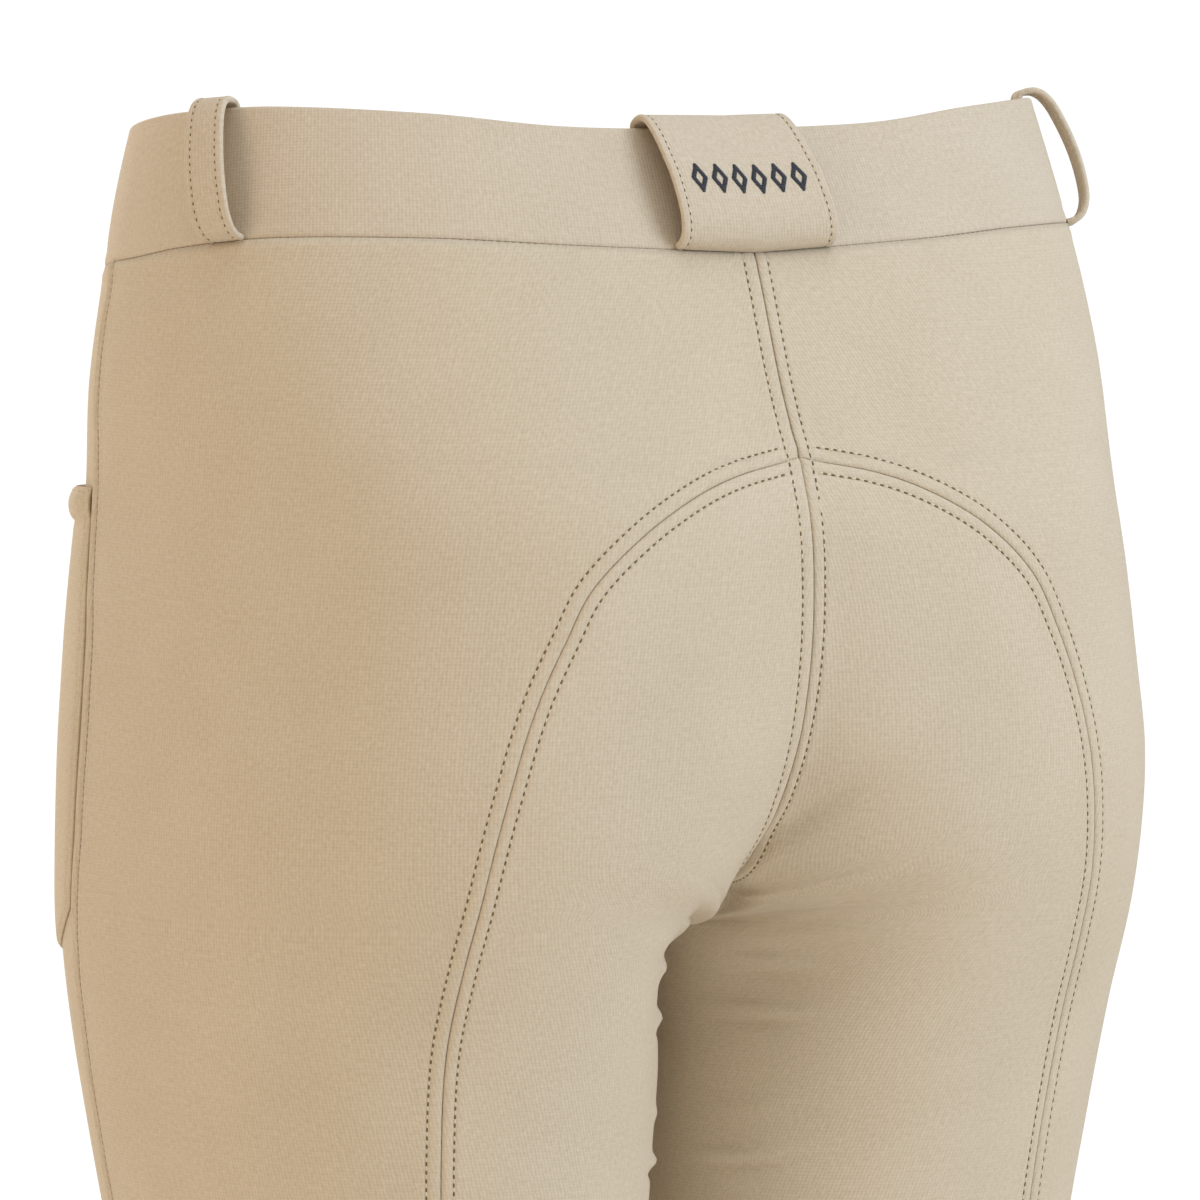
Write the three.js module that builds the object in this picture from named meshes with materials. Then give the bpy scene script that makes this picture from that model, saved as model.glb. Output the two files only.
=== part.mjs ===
// Riding breeches as they are worn, hollow and with no wearer: a contoured waistband with
// belt loops, a full seat let into the back legs, one pocket on the wearer's left thigh and
// a zipped fly. Millimetres, +Z up, +Y towards the wearer's back, +X towards the wearer's left.
// The origin is in the middle of the waist opening, on the line of the waist seam.
import * as THREE from "three";
import { mergeVertices } from "three/addons/utils/BufferGeometryUtils.js";

// Driving sizes
const cloth = 1.2; // the stretch twill of the legs
const bandCloth = 2.2; // the waistband is the same cloth doubled
const seamGap = 0.3; // between the raw edges of two panels
const roundness = 2.15; // 2 is an ellipse, more is squarer
const crotch = { y: 20, z: -206 };
const seatLine = -100; // the fullest point of the back seam
const bellyLine = -80; // where the front seam starts to curve under
const hemZ = -875;
const crossingZ = -62; // where the seat seams leave the back seam
const archEndZ = -198; // where the arch of the seat runs out into the leg
const sideCrossingZ = -58; // the same row of the cloth at the side seam

// Half of the figure that the cloth is cut for, a row for each height. The ring of a row runs
// from the back seam over the fullest point of the back, the side and the front to the front
// seam. Below the crotch it closes at the inside leg.
const sectionColumns = [
  "z", "xSide", "ySide", "xBack", "yBack", "yBackSeam", "xFront", "yFront", "yFrontSeam", "xInner",
];
const sections = [
  [80, 138, 3, 34, 54, 53, 40, -80, -79.4, 0],
  [40, 144, 3, 35, 73, 72.2, 40, -84, -83.4, 0],
  [0, 152, 3, 36, 95, 94.2, 42, -88, -87.4, 0],
  [-40, 158, 1, 40, 112, 110, 46, -90, -89.3, 0],
  [-75, 157.5, -3, 43, 129.5, 125.5, 50, -92, -91, 0],
  [-100, 160, -3, 48, 134, 128.5, 52, -92, -90, 0],
  [-128, 162.5, -3, 54, 135, 124.5, 55, -92, -88, 0],
  [-155, 165, -3, 60, 133.5, 112, 60, -91, -82, 0],
  [-185, 165.5, -5, 66, 126, 90, 66, -90, -62, 0],
  [-206, 165, -5, 70, 116.5, 20, 70, -90, 20, 0],
  [-231, 162, -5, 72, 106, 18, 72, -89, 18, 3],
  [-262, 157, -4, 72, 98.5, 16, 72, -87, 16, 5],
  [-300, 149.5, -2, 72, 93, 15, 72, -83, 15, 7],
  [-380, 135, 3, 73, 86, 18, 71, -70, 18, 11],
  [-460, 127, 4, 73, 72, 14, 72, -58, 14, 16],
  [-505, 126, 5, 74, 66, 12, 73, -54, 12, 20],
  [-550, 124, 10, 74, 68, 14, 73, -46, 14, 20],
  [-620, 126, 18, 75, 77, 20, 74, -35, 20, 20],
  [-700, 120, 24, 75, 74, 24, 75, -24, 24, 27],
  [-790, 110, 29, 76, 64, 29, 76, -9, 29, 39],
  [-875, 107, 32, 77, 64, 32, 77, -1, 32, 44],
].map((row) => Object.fromEntries(row.map((value, i) => [sectionColumns[i], value])));

// The waist seam and the top edge of the waistband. share is the way round the half waist,
// from 0 at the back seam to 1 at the front.
const waist = [
  { share: 0, seam: -3, top: 33 },
  { share: 0.14, seam: 0, top: 34.5 },
  { share: 0.25, seam: 2.5, top: 38.5 },
  { share: 0.37, seam: 2.3, top: 40.3 },
  { share: 0.45, seam: -1, top: 38.5 },
  { share: 0.51, seam: -4.5, top: 36.3 },
  { share: 0.62, seam: -9.5, top: 31 },
  { share: 0.8, seam: -20, top: 21 },
  { share: 1, seam: -26, top: 15.5 },
];

// The seat seam: how far it lies from the back seam or, below the seat, from the middle plane.
const seatSeam = [
  { z: -62, x: 0 },
  { z: -66, x: 22 },
  { z: -72, x: 39.5 },
  { z: -82, x: 57.5 },
  { z: -96.5, x: 74 },
  { z: -112, x: 83 },
  { z: -128, x: 90.5 },
  { z: -146, x: 96.5 },
  { z: -170, x: 101.5 },
  { z: -200, x: 104.5 },
  { z: -231, x: 105 },
  { z: -262, x: 103 },
  { z: -300, x: 100 },
  { z: -380, x: 96 },
  { z: -505, x: 91 },
  { z: -620, x: 88 },
  { z: -750, x: 82 },
  { z: -875, x: 80 },
];

// How far forward of the figure's side the side seam lies.
const sideSeam = [
  { z: 0, forward: 20 },
  { z: -60, forward: 18 },
  { z: -90, forward: 15 },
  { z: -120, forward: 10 },
  { z: -170, forward: 9 },
  { z: -215, forward: 14 },
  { z: -262, forward: 17 },
  { z: -300, forward: 18 },
  { z: -505, forward: 10 },
  { z: -875, forward: 0 },
];

// Looks a column up between the rows of a table, on a smooth curve through its rows.
function along(table, key, at, column) {
  const down = table[0][key] > table[table.length - 1][key];
  const rows = down ? table.slice().reverse() : table;
  const last = rows.length - 1;
  const x = Math.min(Math.max(at, rows[0][key]), rows[last][key]);
  let i = 0;
  while (i < last - 1 && x > rows[i + 1][key]) i += 1;
  const slope = (k) => {
    const a = rows[Math.max(k - 1, 0)];
    const b = rows[Math.min(k + 1, last)];
    return (b[column] - a[column]) / (b[key] - a[key]);
  };
  const width = rows[i + 1][key] - rows[i][key];
  const t = (x - rows[i][key]) / width;
  const h = (1 - t) * (1 - t);
  return (
    (1 + 2 * t) * h * rows[i][column] +
    t * h * width * slope(i) +
    t * t * (3 - 2 * t) * rows[i + 1][column] +
    t * t * (t - 1) * width * slope(i + 1)
  );
}

const lerp = THREE.MathUtils.lerp;
const clamp = THREE.MathUtils.clamp;
const smooth = (t) => THREE.MathUtils.smoothstep(t, 0, 1);

// The figure's measures at a height. The two seams follow quarter ellipses to the crotch.
function figureAt(z) {
  const row = { z };
  for (const column of Object.keys(sections[0])) {
    if (column !== "z") row[column] = along(sections, "z", z, column);
  }
  row.yInner = z > crotch.z ? crotch.y : row.yBackSeam;
  if (z <= crotch.z) {
    row.xInnerBack = row.xInner;
    row.xInnerFront = row.xInner;
    return row;
  }
  const under = (start, y) => {
    const drop = clamp((start - z) / (start - crotch.z), 0, 1);
    return crotch.y + (y - crotch.y) * Math.sqrt(1 - drop * drop);
  };
  if (z < seatLine) row.yBackSeam = under(seatLine, along(sections, "z", seatLine, "yBackSeam"));
  if (z < bellyLine) row.yFrontSeam = under(bellyLine, along(sections, "z", bellyLine, "yFrontSeam"));
  // The inner quarters are cut off by the middle plane just where the seams lie.
  const reach = (x, y, ySeam) => {
    const r = clamp((ySeam - crotch.y) / (y - crotch.y), 0, 0.995);
    return x - x / Math.pow(1 - Math.pow(r, roundness), 1 / roundness);
  };
  row.xInnerBack = reach(row.xBack, row.yBack, row.yBackSeam);
  row.xInnerFront = reach(row.xFront, row.yFront, row.yFrontSeam);
  return row;
}

// A point of the left half's ring. turn is 0 at the inside leg, 1 at the back, 2 at the side,
// 3 at the front and 4 at the inside leg again.
function ringPoint(turn, figure) {
  const quarter = clamp(Math.floor(turn), 0, 3);
  const angle = (quarter % 2 ? turn - quarter : quarter + 1 - turn) * (Math.PI / 2);
  const s = Math.sin(angle);
  const c = Math.cos(angle);
  const powers = Math.pow(Math.abs(s), roundness) + Math.pow(Math.abs(c), roundness);
  const size = Math.pow(powers, -1 / roundness);
  const front = quarter > 1;
  const inner = quarter === 0 || quarter === 3;
  const xFull = front ? figure.xFront : figure.xBack;
  const yFull = front ? figure.yFront : figure.yBack;
  const xEnd = inner ? (front ? figure.xInnerFront : figure.xInnerBack) : figure.xSide;
  const yEnd = inner ? figure.yInner : figure.ySide;
  return [xFull + (xEnd - xFull) * s * size, yEnd + (yFull - yEnd) * c * size];
}

// The turn at which the ring is x from the middle plane, on its back or its front.
function turnAtX(x, figure, front) {
  const xFull = front ? figure.xFront : figure.xBack;
  const inner = x < xFull;
  const xEnd = inner ? (front ? figure.xInnerFront : figure.xInnerBack) : figure.xSide;
  const share = clamp((x - xFull) / (xEnd - xFull), 0, 1);
  const rest = Math.pow(1 - Math.pow(share, roundness), 1 / roundness);
  const quarter = Math.atan2(share, rest) / (Math.PI / 2);
  return (front ? 3 : 1) + (front === inner ? quarter : -quarter);
}

// Girth along a ring, measured from the figure's side and positive towards the front.
const girthSteps = 160;
const girths = new Map();
function girthTable(z) {
  const key = Math.round(z * 50);
  if (!girths.has(key)) {
    const figure = figureAt(key / 50);
    const lengths = new Float64Array(girthSteps + 1);
    let before = ringPoint(0, figure);
    for (let i = 1; i <= girthSteps; i += 1) {
      const here = ringPoint((4 * i) / girthSteps, figure);
      lengths[i] = lengths[i - 1] + Math.hypot(here[0] - before[0], here[1] - before[1]);
      before = here;
    }
    girths.set(key, { figure, lengths: lengths.map((v) => v - lengths[girthSteps / 2]) });
  }
  return girths.get(key);
}

function girthAtTurn(turn, z) {
  const { lengths } = girthTable(z);
  const at = clamp((turn / 4) * girthSteps, 0, girthSteps - 1e-9);
  return lerp(lengths[Math.floor(at)], lengths[Math.floor(at) + 1], at - Math.floor(at));
}

function turnAtGirth(girth, z) {
  const { lengths } = girthTable(z);
  let low = 0;
  let high = girthSteps;
  while (high - low > 1) {
    const middle = (low + high) >> 1;
    if (lengths[middle] > girth) high = middle;
    else low = middle;
  }
  const part = (girth - lengths[low]) / (lengths[high] - lengths[low]);
  return ((low + part) / girthSteps) * 4;
}

// Soft folds that are part of the worn shape: a row for each, by girth and height.
const folds = [
  { girth: -205, z: -224, across: 16, high: 5, deep: 1.4 },
  { girth: -205, z: -238, across: 14, high: 4.5, deep: -0.8 },
  { girth: -204, z: -249, across: 18, high: 5, deep: 1.3 },
  { girth: -201, z: -283, across: 16, high: 6, deep: 1.1 },
  { girth: -110, z: -492, across: 45, high: 9, deep: 2.0 },
  { girth: -100, z: -512, across: 50, high: 8, deep: -2.2 },
  { girth: -105, z: -532, across: 42, high: 9, deep: 1.8 },
  { girth: 20, z: -840, across: 60, high: 8, deep: 1.4 },
  { girth: -60, z: -822, across: 55, high: 8, deep: 1.3 },
];

function foldDepth(girth, z) {
  let depth = 0;
  for (const fold of folds) {
    const a = (girth - fold.girth) / fold.across;
    const b = (z - fold.z) / fold.high;
    depth += fold.deep * Math.exp(-a * a - b * b);
  }
  return depth;
}

// The outer face of the cloth on the left half, at a girth and a height.
function clothPoint(girth, z) {
  const { figure } = girthTable(z);
  const [x, y] = ringPoint(turnAtGirth(girth, z), figure);
  return new THREE.Vector3(x, y, z);
}

function clothNormal(girth, z) {
  const step = 0.6;
  const turn = turnAtGirth(girth, z);
  const at = (dTurn, dz) => {
    const { figure } = girthTable(z + dz);
    const [x, y] = ringPoint(clamp(turn + dTurn, 0, 4), figure);
    return new THREE.Vector3(x, y, z + dz);
  };
  const round = at(0.01, 0).sub(at(-0.01, 0));
  const up = at(0, step).sub(at(0, -step));
  return up.cross(round).normalize();
}

// A point of the cloth moved out by a lift, with the soft folds.
function liftedPoint(girth, z, lift) {
  const normal = clothNormal(girth, z);
  const point = clothPoint(girth, z).addScaledVector(normal, lift + foldDepth(girth, z));
  point.x = Math.max(point.x, seamGap / 2); // the left half stays on its side of the middle plane
  return point;
}

// The seam lines, each a list of places { girth, z } at the shared heights of its rows.
const backSeamGirth = (z) => girthAtTurn(turnAtX(0, girthTable(z).figure, false), z);
const frontSeamGirth = (z) => girthAtTurn(turnAtX(0, girthTable(z).figure, true), z);
const insideBack = (z) => girthAtTurn(0, z);
const insideFront = (z) => girthAtTurn(4, z);
const sideGirth = (z) => along(sideSeam, "z", z, "forward");
const seatGirth = (z) =>
  girthAtTurn(turnAtX(Math.max(along(seatSeam, "z", z, "x"), 0), girthTable(z).figure, false), z);

const girthAtShare = (share, z) => lerp(backSeamGirth(z), frontSeamGirth(z), share);

// The height of the waist seam at a girth, found by closing in on it.
function waistZ(girth) {
  let z = 0;
  for (let i = 0; i < 5; i += 1) {
    const back = backSeamGirth(z);
    z = along(waist, "share", clamp((girth - back) / (frontSeamGirth(z) - back), 0, 1), "seam");
  }
  return z;
}

// Rows of the panels: waist to crossing, crossing to crotch, crotch to hem.
const rows = { crossing: 5, crotch: 16, hem: 38 };

// Heights that start fine and grow, from one height to another.
const graded = (from, to, share, power) => from + (to - from) * Math.pow(share, power);

function seamLine(name) {
  const line = [];
  for (let r = 0; r <= rows.hem; r += 1) {
    const upper = r / rows.crossing;
    const middle = (r - rows.crossing) / (rows.crotch - rows.crossing);
    const lower = (r - rows.crotch) / (rows.hem - rows.crotch);
    const stretch = r < rows.crossing ? 0 : r < rows.crotch ? 1 : 2;
    const legZ = lerp(crotch.z, hemZ, Math.pow(clamp(lower, 0, 1), 1.15));
    let z;
    let girth;
    if (name === "back") {
      const top = waist[0].seam;
      // Even steps round the curve of the seam, so that the crotch isn't cut short.
      const curve = crossingZ + (crotch.z - crossingZ) * Math.sin((middle * Math.PI) / 2);
      z = [lerp(top, crossingZ, upper), curve, legZ][stretch];
      girth = stretch === 2 ? insideBack(z) : backSeamGirth(z);
    } else if (name === "front") {
      const top = waist[waist.length - 1].seam;
      const way = r / rows.crotch;
      z = stretch === 2 ? legZ : lerp(top, crotch.z, Math.sin((way * Math.PI) / 2));
      girth = stretch === 2 ? insideFront(z) : frontSeamGirth(z);
    } else if (name === "seat") {
      const way = clamp((r - rows.crossing) / (rows.hem - rows.crossing), 0, 1);
      const arch = (rows.crotch - rows.crossing) / (rows.hem - rows.crossing);
      const below = (way - arch) / (1 - arch);
      z = way < arch ? graded(crossingZ, archEndZ, way / arch, 1.7) : graded(archEndZ, hemZ, below, 1.15);
      girth = seatGirth(z);
    } else {
      const start = waistZ(along(sideSeam, "z", 0, "forward"));
      z = [
        lerp(start, sideCrossingZ, upper),
        lerp(sideCrossingZ, archEndZ, middle),
        lerp(archEndZ, hemZ, Math.pow(clamp(lower, 0, 1), 1.15)),
      ][stretch];
      girth = sideGirth(z);
    }
    line.push({ girth, z });
  }
  return line;
}

// Moves an outline inwards by a distance, so that two panels keep the seam gap.
function insetOutline(outline, distance) {
  const count = outline.length;
  let area = 0;
  for (let i = 0; i < count; i += 1) {
    const a = outline[i];
    const b = outline[(i + 1) % count];
    area += a.girth * b.z - b.girth * a.z;
  }
  const sign = Math.sign(area);
  return outline.map((p, i) => {
    const before = outline[(i + count - 1) % count];
    const after = outline[(i + 1) % count];
    const normals = [
      [before, p],
      [p, after],
    ].map(([a, b]) => {
      const length = Math.hypot(b.girth - a.girth, b.z - a.z) || 1;
      return [(-(b.z - a.z) / length) * sign, ((b.girth - a.girth) / length) * sign];
    });
    const sum = [normals[0][0] + normals[1][0], normals[0][1] + normals[1][1]];
    const square = Math.max(sum[0] * sum[0] + sum[1] * sum[1], 0.5);
    return { girth: p.girth + (2 * distance * sum[0]) / square, z: p.z + (2 * distance * sum[1]) / square };
  });
}

// A grid of places between two seam lines. The first row follows the waist seam if it starts there.
function panelGrid(first, second, columns, atWaist) {
  const pointed = !atWaist;
  const ring = pointed ? [...first, ...second.slice(1).reverse()] : [...first, ...second.slice().reverse()];
  const inset = insetOutline(ring, seamGap / 2);
  const a = inset.slice(0, first.length);
  const b = pointed ? [a[0], ...inset.slice(first.length).reverse()] : inset.slice(first.length).reverse();
  const topA = a[0];
  const topB = b[0];
  return a.map((start, r) => {
    const end = b[r];
    const fade = Math.pow(1 - r / (a.length - 1), 4);
    const places = [];
    for (let c = 0; c <= columns; c += 1) {
      const t = c / columns;
      const girth = lerp(start.girth, end.girth, t);
      let z = lerp(start.z, end.z, t);
      if (atWaist) {
        const g = lerp(topA.girth, topB.girth, t);
        z += (waistZ(g) - seamGap / 2 - lerp(topA.z, topB.z, t)) * fade;
      }
      places.push({ girth, z });
    }
    return places;
  });
}

// A wall of cloth from a grid of points, with its inner face under the outer one.
function wall(outer, inner, mirrored) {
  const height = outer.length;
  const width = outer[0].length;
  const positions = [];
  for (const face of [outer, inner]) {
    for (const line of face) for (const p of line) positions.push(mirrored ? -p.x : p.x, p.y, p.z);
  }
  const at = (face, r, c) => face * height * width + r * width + c;
  const triangles = [];
  const quad = (a, b, c, d) => {
    if (mirrored) triangles.push(a, b, c, a, c, d);
    else triangles.push(a, c, b, a, d, c);
  };
  for (let r = 0; r < height - 1; r += 1) {
    for (let c = 0; c < width - 1; c += 1) {
      quad(at(0, r, c), at(0, r + 1, c), at(0, r + 1, c + 1), at(0, r, c + 1));
      quad(at(1, r, c), at(1, r, c + 1), at(1, r + 1, c + 1), at(1, r + 1, c));
    }
  }
  for (let c = 0; c < width - 1; c += 1) {
    quad(at(0, 0, c), at(0, 0, c + 1), at(1, 0, c + 1), at(1, 0, c));
    quad(at(0, height - 1, c + 1), at(0, height - 1, c), at(1, height - 1, c), at(1, height - 1, c + 1));
  }
  for (let r = 0; r < height - 1; r += 1) {
    quad(at(0, r + 1, 0), at(0, r, 0), at(1, r, 0), at(1, r + 1, 0));
    quad(at(0, r, width - 1), at(0, r + 1, width - 1), at(1, r + 1, width - 1), at(1, r, width - 1));
  }
  return closedGeometry(positions, triangles);
}

// Merges points that fall together and drops the faces that this closes up.
function closedGeometry(positions, triangles) {
  const raw = new THREE.BufferGeometry();
  raw.setAttribute("position", new THREE.Float32BufferAttribute(positions, 3));
  raw.setIndex(triangles);
  const merged = mergeVertices(raw, 1e-3);
  const index = merged.index.array;
  const kept = [];
  for (let i = 0; i < index.length; i += 3) {
    const [a, b, c] = index.subarray(i, i + 3);
    if (a !== b && b !== c && a !== c) kept.push(a, b, c);
  }
  merged.setIndex(kept);
  merged.computeVertexNormals();
  return merged;
}

// A panel of the left half, or its mirror image
function panelGeometry(grid, thickness, mirrored) {
  const outer = grid.map((line) => line.map(({ girth, z }) => liftedPoint(girth, z, 0)));
  const inner = grid.map((line) => line.map(({ girth, z }) => liftedPoint(girth, z, -thickness)));
  return wall(outer, inner, mirrored);
}

const beige = { color: 0xd3c2a4, roughness: 0.9, metalness: 0 };
const materials = {
  cloth: new THREE.MeshStandardMaterial(beige),
  seatCloth: new THREE.MeshStandardMaterial({ ...beige, color: 0xd6c6aa }),
  bandCloth: new THREE.MeshStandardMaterial({ ...beige, color: 0xd2c2a6 }),
  tape: new THREE.MeshStandardMaterial({ color: 0xcdbb9b, roughness: 0.95, metalness: 0 }),
  button: new THREE.MeshStandardMaterial({ color: 0xbfa987, roughness: 0.4, metalness: 0 }),
};

const breeches = new THREE.Group();

function addMesh(name, geometry, material) {
  const mesh = new THREE.Mesh(geometry, material);
  mesh.name = name;
  breeches.add(mesh);
}

// The leg panels
const columns = { back: 9, seat: 8, front: 13 };
const lines = {
  back: seamLine("back"),
  seat: seamLine("seat"),
  side: seamLine("side"),
  front: seamLine("front"),
};
const backEdge = [...lines.back.slice(0, rows.crossing), ...lines.seat.slice(rows.crossing)];

function addLeg(side, mirrored) {
  const backGrid = panelGrid(backEdge, lines.side, columns.back, true);
  addMesh(`back_${side}`, panelGeometry(backGrid, cloth, mirrored), materials.cloth);
  const [inner, outer] = [lines.back, lines.seat].map((line) => line.slice(rows.crossing));
  const seatGrid = panelGrid(inner, outer, columns.seat, false);
  addMesh(`seat_${side}`, panelGeometry(seatGrid, cloth, mirrored), materials.seatCloth);
  const frontGrid = panelGrid(lines.side, lines.front, columns.front, true);
  addMesh(`front_${side}`, panelGeometry(frontGrid, cloth, mirrored), materials.cloth);
}

addLeg("left", false);
addLeg("right", true);

// A place on the waistband: way is 0 at the back seam, 1 at the front on the wearer's left and
// -1 at the front on their right. Below -1 it is the end that laps over the left. up is the
// height over the waist seam and out the distance from the band's outer face.
const lap = { length: 34, lift: bandCloth + seamGap, rise: 12 };
const halfWaist = frontSeamGirth(0) - backSeamGirth(0);

function bandPoint(way, up, out) {
  const past = Math.max(-1 - way, 0);
  const share = past > 0 ? 1 - past : Math.abs(way);
  const z = along(waist, "share", share, "seam") + up;
  const lapped = smooth(((-0.97 - way) * halfWaist) / lap.rise) * lap.lift;
  const point = clothPoint(girthAtShare(share, z), z);
  const normal = clothNormal(girthAtShare(share, z), z);
  point.addScaledVector(normal, out + lapped);
  if (way < 0 && past === 0) point.x = -point.x;
  return point;
}

const bandHeight = (share) => along(waist, "share", share, "top") - along(waist, "share", share, "seam");

// The waistband
function waistbandGeometry() {
  const first = -1 - lap.length / halfWaist;
  const last = 1 - 0.4 / halfWaist;
  const steps = 84;
  const levels = 3;
  const faces = [0, -bandCloth].map((out) => {
    const lines = [];
    for (let level = levels; level >= 0; level -= 1) {
      const line = [];
      for (let i = 0; i <= steps; i += 1) {
        const way = lerp(first, last, i / steps);
        const share = way < -1 ? 2 + way : Math.abs(way);
        const up = lerp(seamGap / 2, bandHeight(share), level / levels);
        line.push(bandPoint(way, up, out));
      }
      lines.push(line);
    }
    return lines;
  });
  return wall(faces[0], faces[1], false);
}

addMesh("waistband", waistbandGeometry(), materials.bandCloth);

// Belt loops: the middle line of the strip as rows of out from the band and up from its foot
// (from its top where over is set). It is sewn inside the band, wraps its top edge and stands off.
const strip = 1.8;
const inside = -(bandCloth + 1.5 * seamGap + strip / 2);
const loopLine = [
  { out: inside, up: -9, over: true },
  { out: inside, up: -0.8, over: true },
  { out: inside + 0.45, up: 1.15, over: true },
  { out: -1.9, up: 1.95, over: true },
  { out: 0.4, up: 2.1, over: true },
  { out: 2.6, up: 1.5, over: true },
  { out: 4.8, up: -0.4, over: true },
  { out: 6.6, up: -4, over: true },
  { out: 7.9, up: -9, over: true },
  { out: 8.9, up: -15, over: true },
  { out: 9.3, up: 18, over: false },
  { out: 9.1, up: 12, over: false },
  { out: 8.2, up: 6.5, over: false },
  { out: 6.0, up: 2.6, over: false },
  { out: 3.2, up: 1.0, over: false },
  { out: 0.35, up: 0.8, over: false },
];

// Loops by the way round the band of their middle, at the foot and at the top.
function loopGeometry(footWay, topWay, width, pieces, stand) {
  const share = Math.abs((footWay + topWay) / 2);
  const height = bandHeight(share);
  const middle = loopLine.map(({ out, up, over }) => ({
    out: out > 2 ? 2 + (out - 2) * stand : out,
    up: over ? up + height : up,
  }));
  const faces = [1, -1].map((face) =>
    middle.map((here, i) => {
      const before = middle[Math.max(i - 1, 0)];
      const after = middle[Math.min(i + 1, middle.length - 1)];
      const length = Math.hypot(after.out - before.out, after.up - before.up);
      const out = here.out - (face * strip * (after.up - before.up)) / length / 2;
      const up = here.up + (face * strip * (after.out - before.out)) / length / 2;
      const line = [];
      for (let c = 0; c <= pieces; c += 1) {
        const across = ((c / pieces - 0.5) * width) / halfWaist;
        const way = lerp(footWay, topWay, up / height) + across;
        line.push(bandPoint(way, (up * bandHeight(Math.abs(way))) / height, out));
      }
      return line;
    })
  );
  return wall(faces[0], faces[1], false);
}

const loops = [
  { name: "loop_back_wide", foot: 0.0, top: 0.01, width: 53, pieces: 8, stand: 1.0 },
  { name: "loop_side_left", foot: 0.406, top: 0.42, width: 12.8, pieces: 2, stand: 0.97 },
  { name: "loop_side_right", foot: -0.41, top: -0.425, width: 12.8, pieces: 2, stand: 0.97 },
  { name: "loop_front_left", foot: 0.83, top: 0.83, width: 12.8, pieces: 2, stand: 0.9 },
  { name: "loop_front_right", foot: -0.83, top: -0.83, width: 12.8, pieces: 2, stand: 0.9 },
];
for (const loop of loops) {
  const geometry = loopGeometry(loop.foot, loop.top, loop.width, loop.pieces, loop.stand);
  addMesh(loop.name, geometry, materials.bandCloth);
}

// Pocket on the wearer's left thigh, beside the side seam
const pocket = { top: -73, bottom: -213, width: 92, fromSeam: 5.5, corner: 16, fullness: 0.4 };

function pocketGeometry() {
  const across = 8;
  const down = 14;
  const grid = [];
  for (let r = 0; r <= down; r += 1) {
    const t = r / down;
    const line = [];
    for (let c = 0; c <= across; c += 1) {
      const a = c / across;
      const edge = Math.abs(a - 0.5) * 2;
      // The lower corners are cut off and the opening slopes down to the front.
      const z = lerp(pocket.top - 4 * a, pocket.bottom + pocket.corner * Math.pow(edge, 3), t);
      line.push({ girth: sideGirth(z) + pocket.fromSeam + a * pocket.width, z, a, t });
    }
    grid.push(line);
  }
  const faces = [0, -cloth].map((depth) =>
    grid.map((line) =>
      line.map(({ girth, z, a, t }) => {
        const full = Math.sin(Math.PI * a) * Math.sin((Math.PI * (1 - t)) / 2) * pocket.fullness;
        return liftedPoint(girth, z, seamGap + cloth + full + depth);
      })
    )
  );
  return wall(faces[0], faces[1], false);
}

addMesh("phone_pocket", pocketGeometry(), materials.cloth);

// The fly: a facing that laps over the front seam and the zip tape behind it
const fly = { length: 118, tapeLength: 112 };

function flyPoint(side, z, out) {
  // side is the distance from the front seam, positive to the wearer's left
  const girth = frontSeamGirth(z) - Math.abs(side);
  const point = clothPoint(girth, z).addScaledVector(clothNormal(girth, z), out);
  point.x = Math.abs(side) < 1e-6 ? 0 : Math.sign(side) * Math.max(point.x, 0);
  return point;
}

function flyStrip(sides, topDrop, bottomDrop, outer, inner, shape) {
  const steps = 12;
  const faces = [outer, inner].map((out) => {
    const lines = [];
    for (let r = 0; r <= steps; r += 1) {
      const line = sides.map((side) => {
        const start = along(waist, "share", 1 - Math.abs(side) / halfWaist, "seam") - topDrop;
        const end = waist[waist.length - 1].seam - bottomDrop + shape(side);
        return flyPoint(side, lerp(start, end, r / steps), out);
      });
      lines.push(line);
    }
    return lines;
  });
  return wall(faces[0], faces[1], false);
}

const flySides = [36, 30, 24, 18, 12, 6, 0, -4];
const flyCurve = (side) => 20 * Math.pow(Math.max(side - 4, 0) / 32, 2.2);
addMesh(
  "fly_facing",
  flyStrip(flySides, seamGap, fly.length, seamGap + cloth, seamGap, flyCurve),
  materials.cloth
);
const tapeSides = [13, 8, 4, 0, -4, -8, -13];
addMesh(
  "zip_tape",
  flyStrip(tapeSides, 4, fly.tapeLength, -cloth - 1.2, -cloth - 2.2, () => 0),
  materials.tape
);

// The button on the lapped end of the waistband
function buttonGeometry() {
  const profile = [
    [0, 0],
    [1.6, 0],
    [1.6, 1.1],
    [6.6, 1.1],
    [7.2, 1.6],
    [7.2, 2.5],
    [6.5, 3.1],
    [5.2, 3.1],
    [4.6, 2.7],
    [0, 2.7],
  ];
  const points = profile.map(([x, y]) => new THREE.Vector2(x, y));
  const lathe = new THREE.LatheGeometry(points, 24);
  lathe.deleteAttribute("uv");
  lathe.deleteAttribute("normal");
  const way = -1 - (lap.length - 15) / halfWaist;
  const up = bandHeight(1) / 2;
  const foot = bandPoint(way, up, seamGap);
  const out = bandPoint(way, up, seamGap + 10).sub(foot).normalize();
  const turn = new THREE.Quaternion().setFromUnitVectors(new THREE.Vector3(0, 1, 0), out);
  lathe.applyMatrix4(new THREE.Matrix4().compose(foot, turn, new THREE.Vector3(1, 1, 1)));
  return closedGeometry(Array.from(lathe.attributes.position.array), Array.from(lathe.index.array));
}

addMesh("waist_button", buttonGeometry(), materials.button);

export default breeches;
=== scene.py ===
# Riding breeches in beige stretch twill, hollow and standing as they do when worn.
# Tables and sizes are in millimetres, as a pattern cutter writes them, and meshes in metres.
import math

import bmesh
import bpy
import numpy as np
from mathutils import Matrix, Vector
from mathutils.bvhtree import BVHTree


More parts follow.
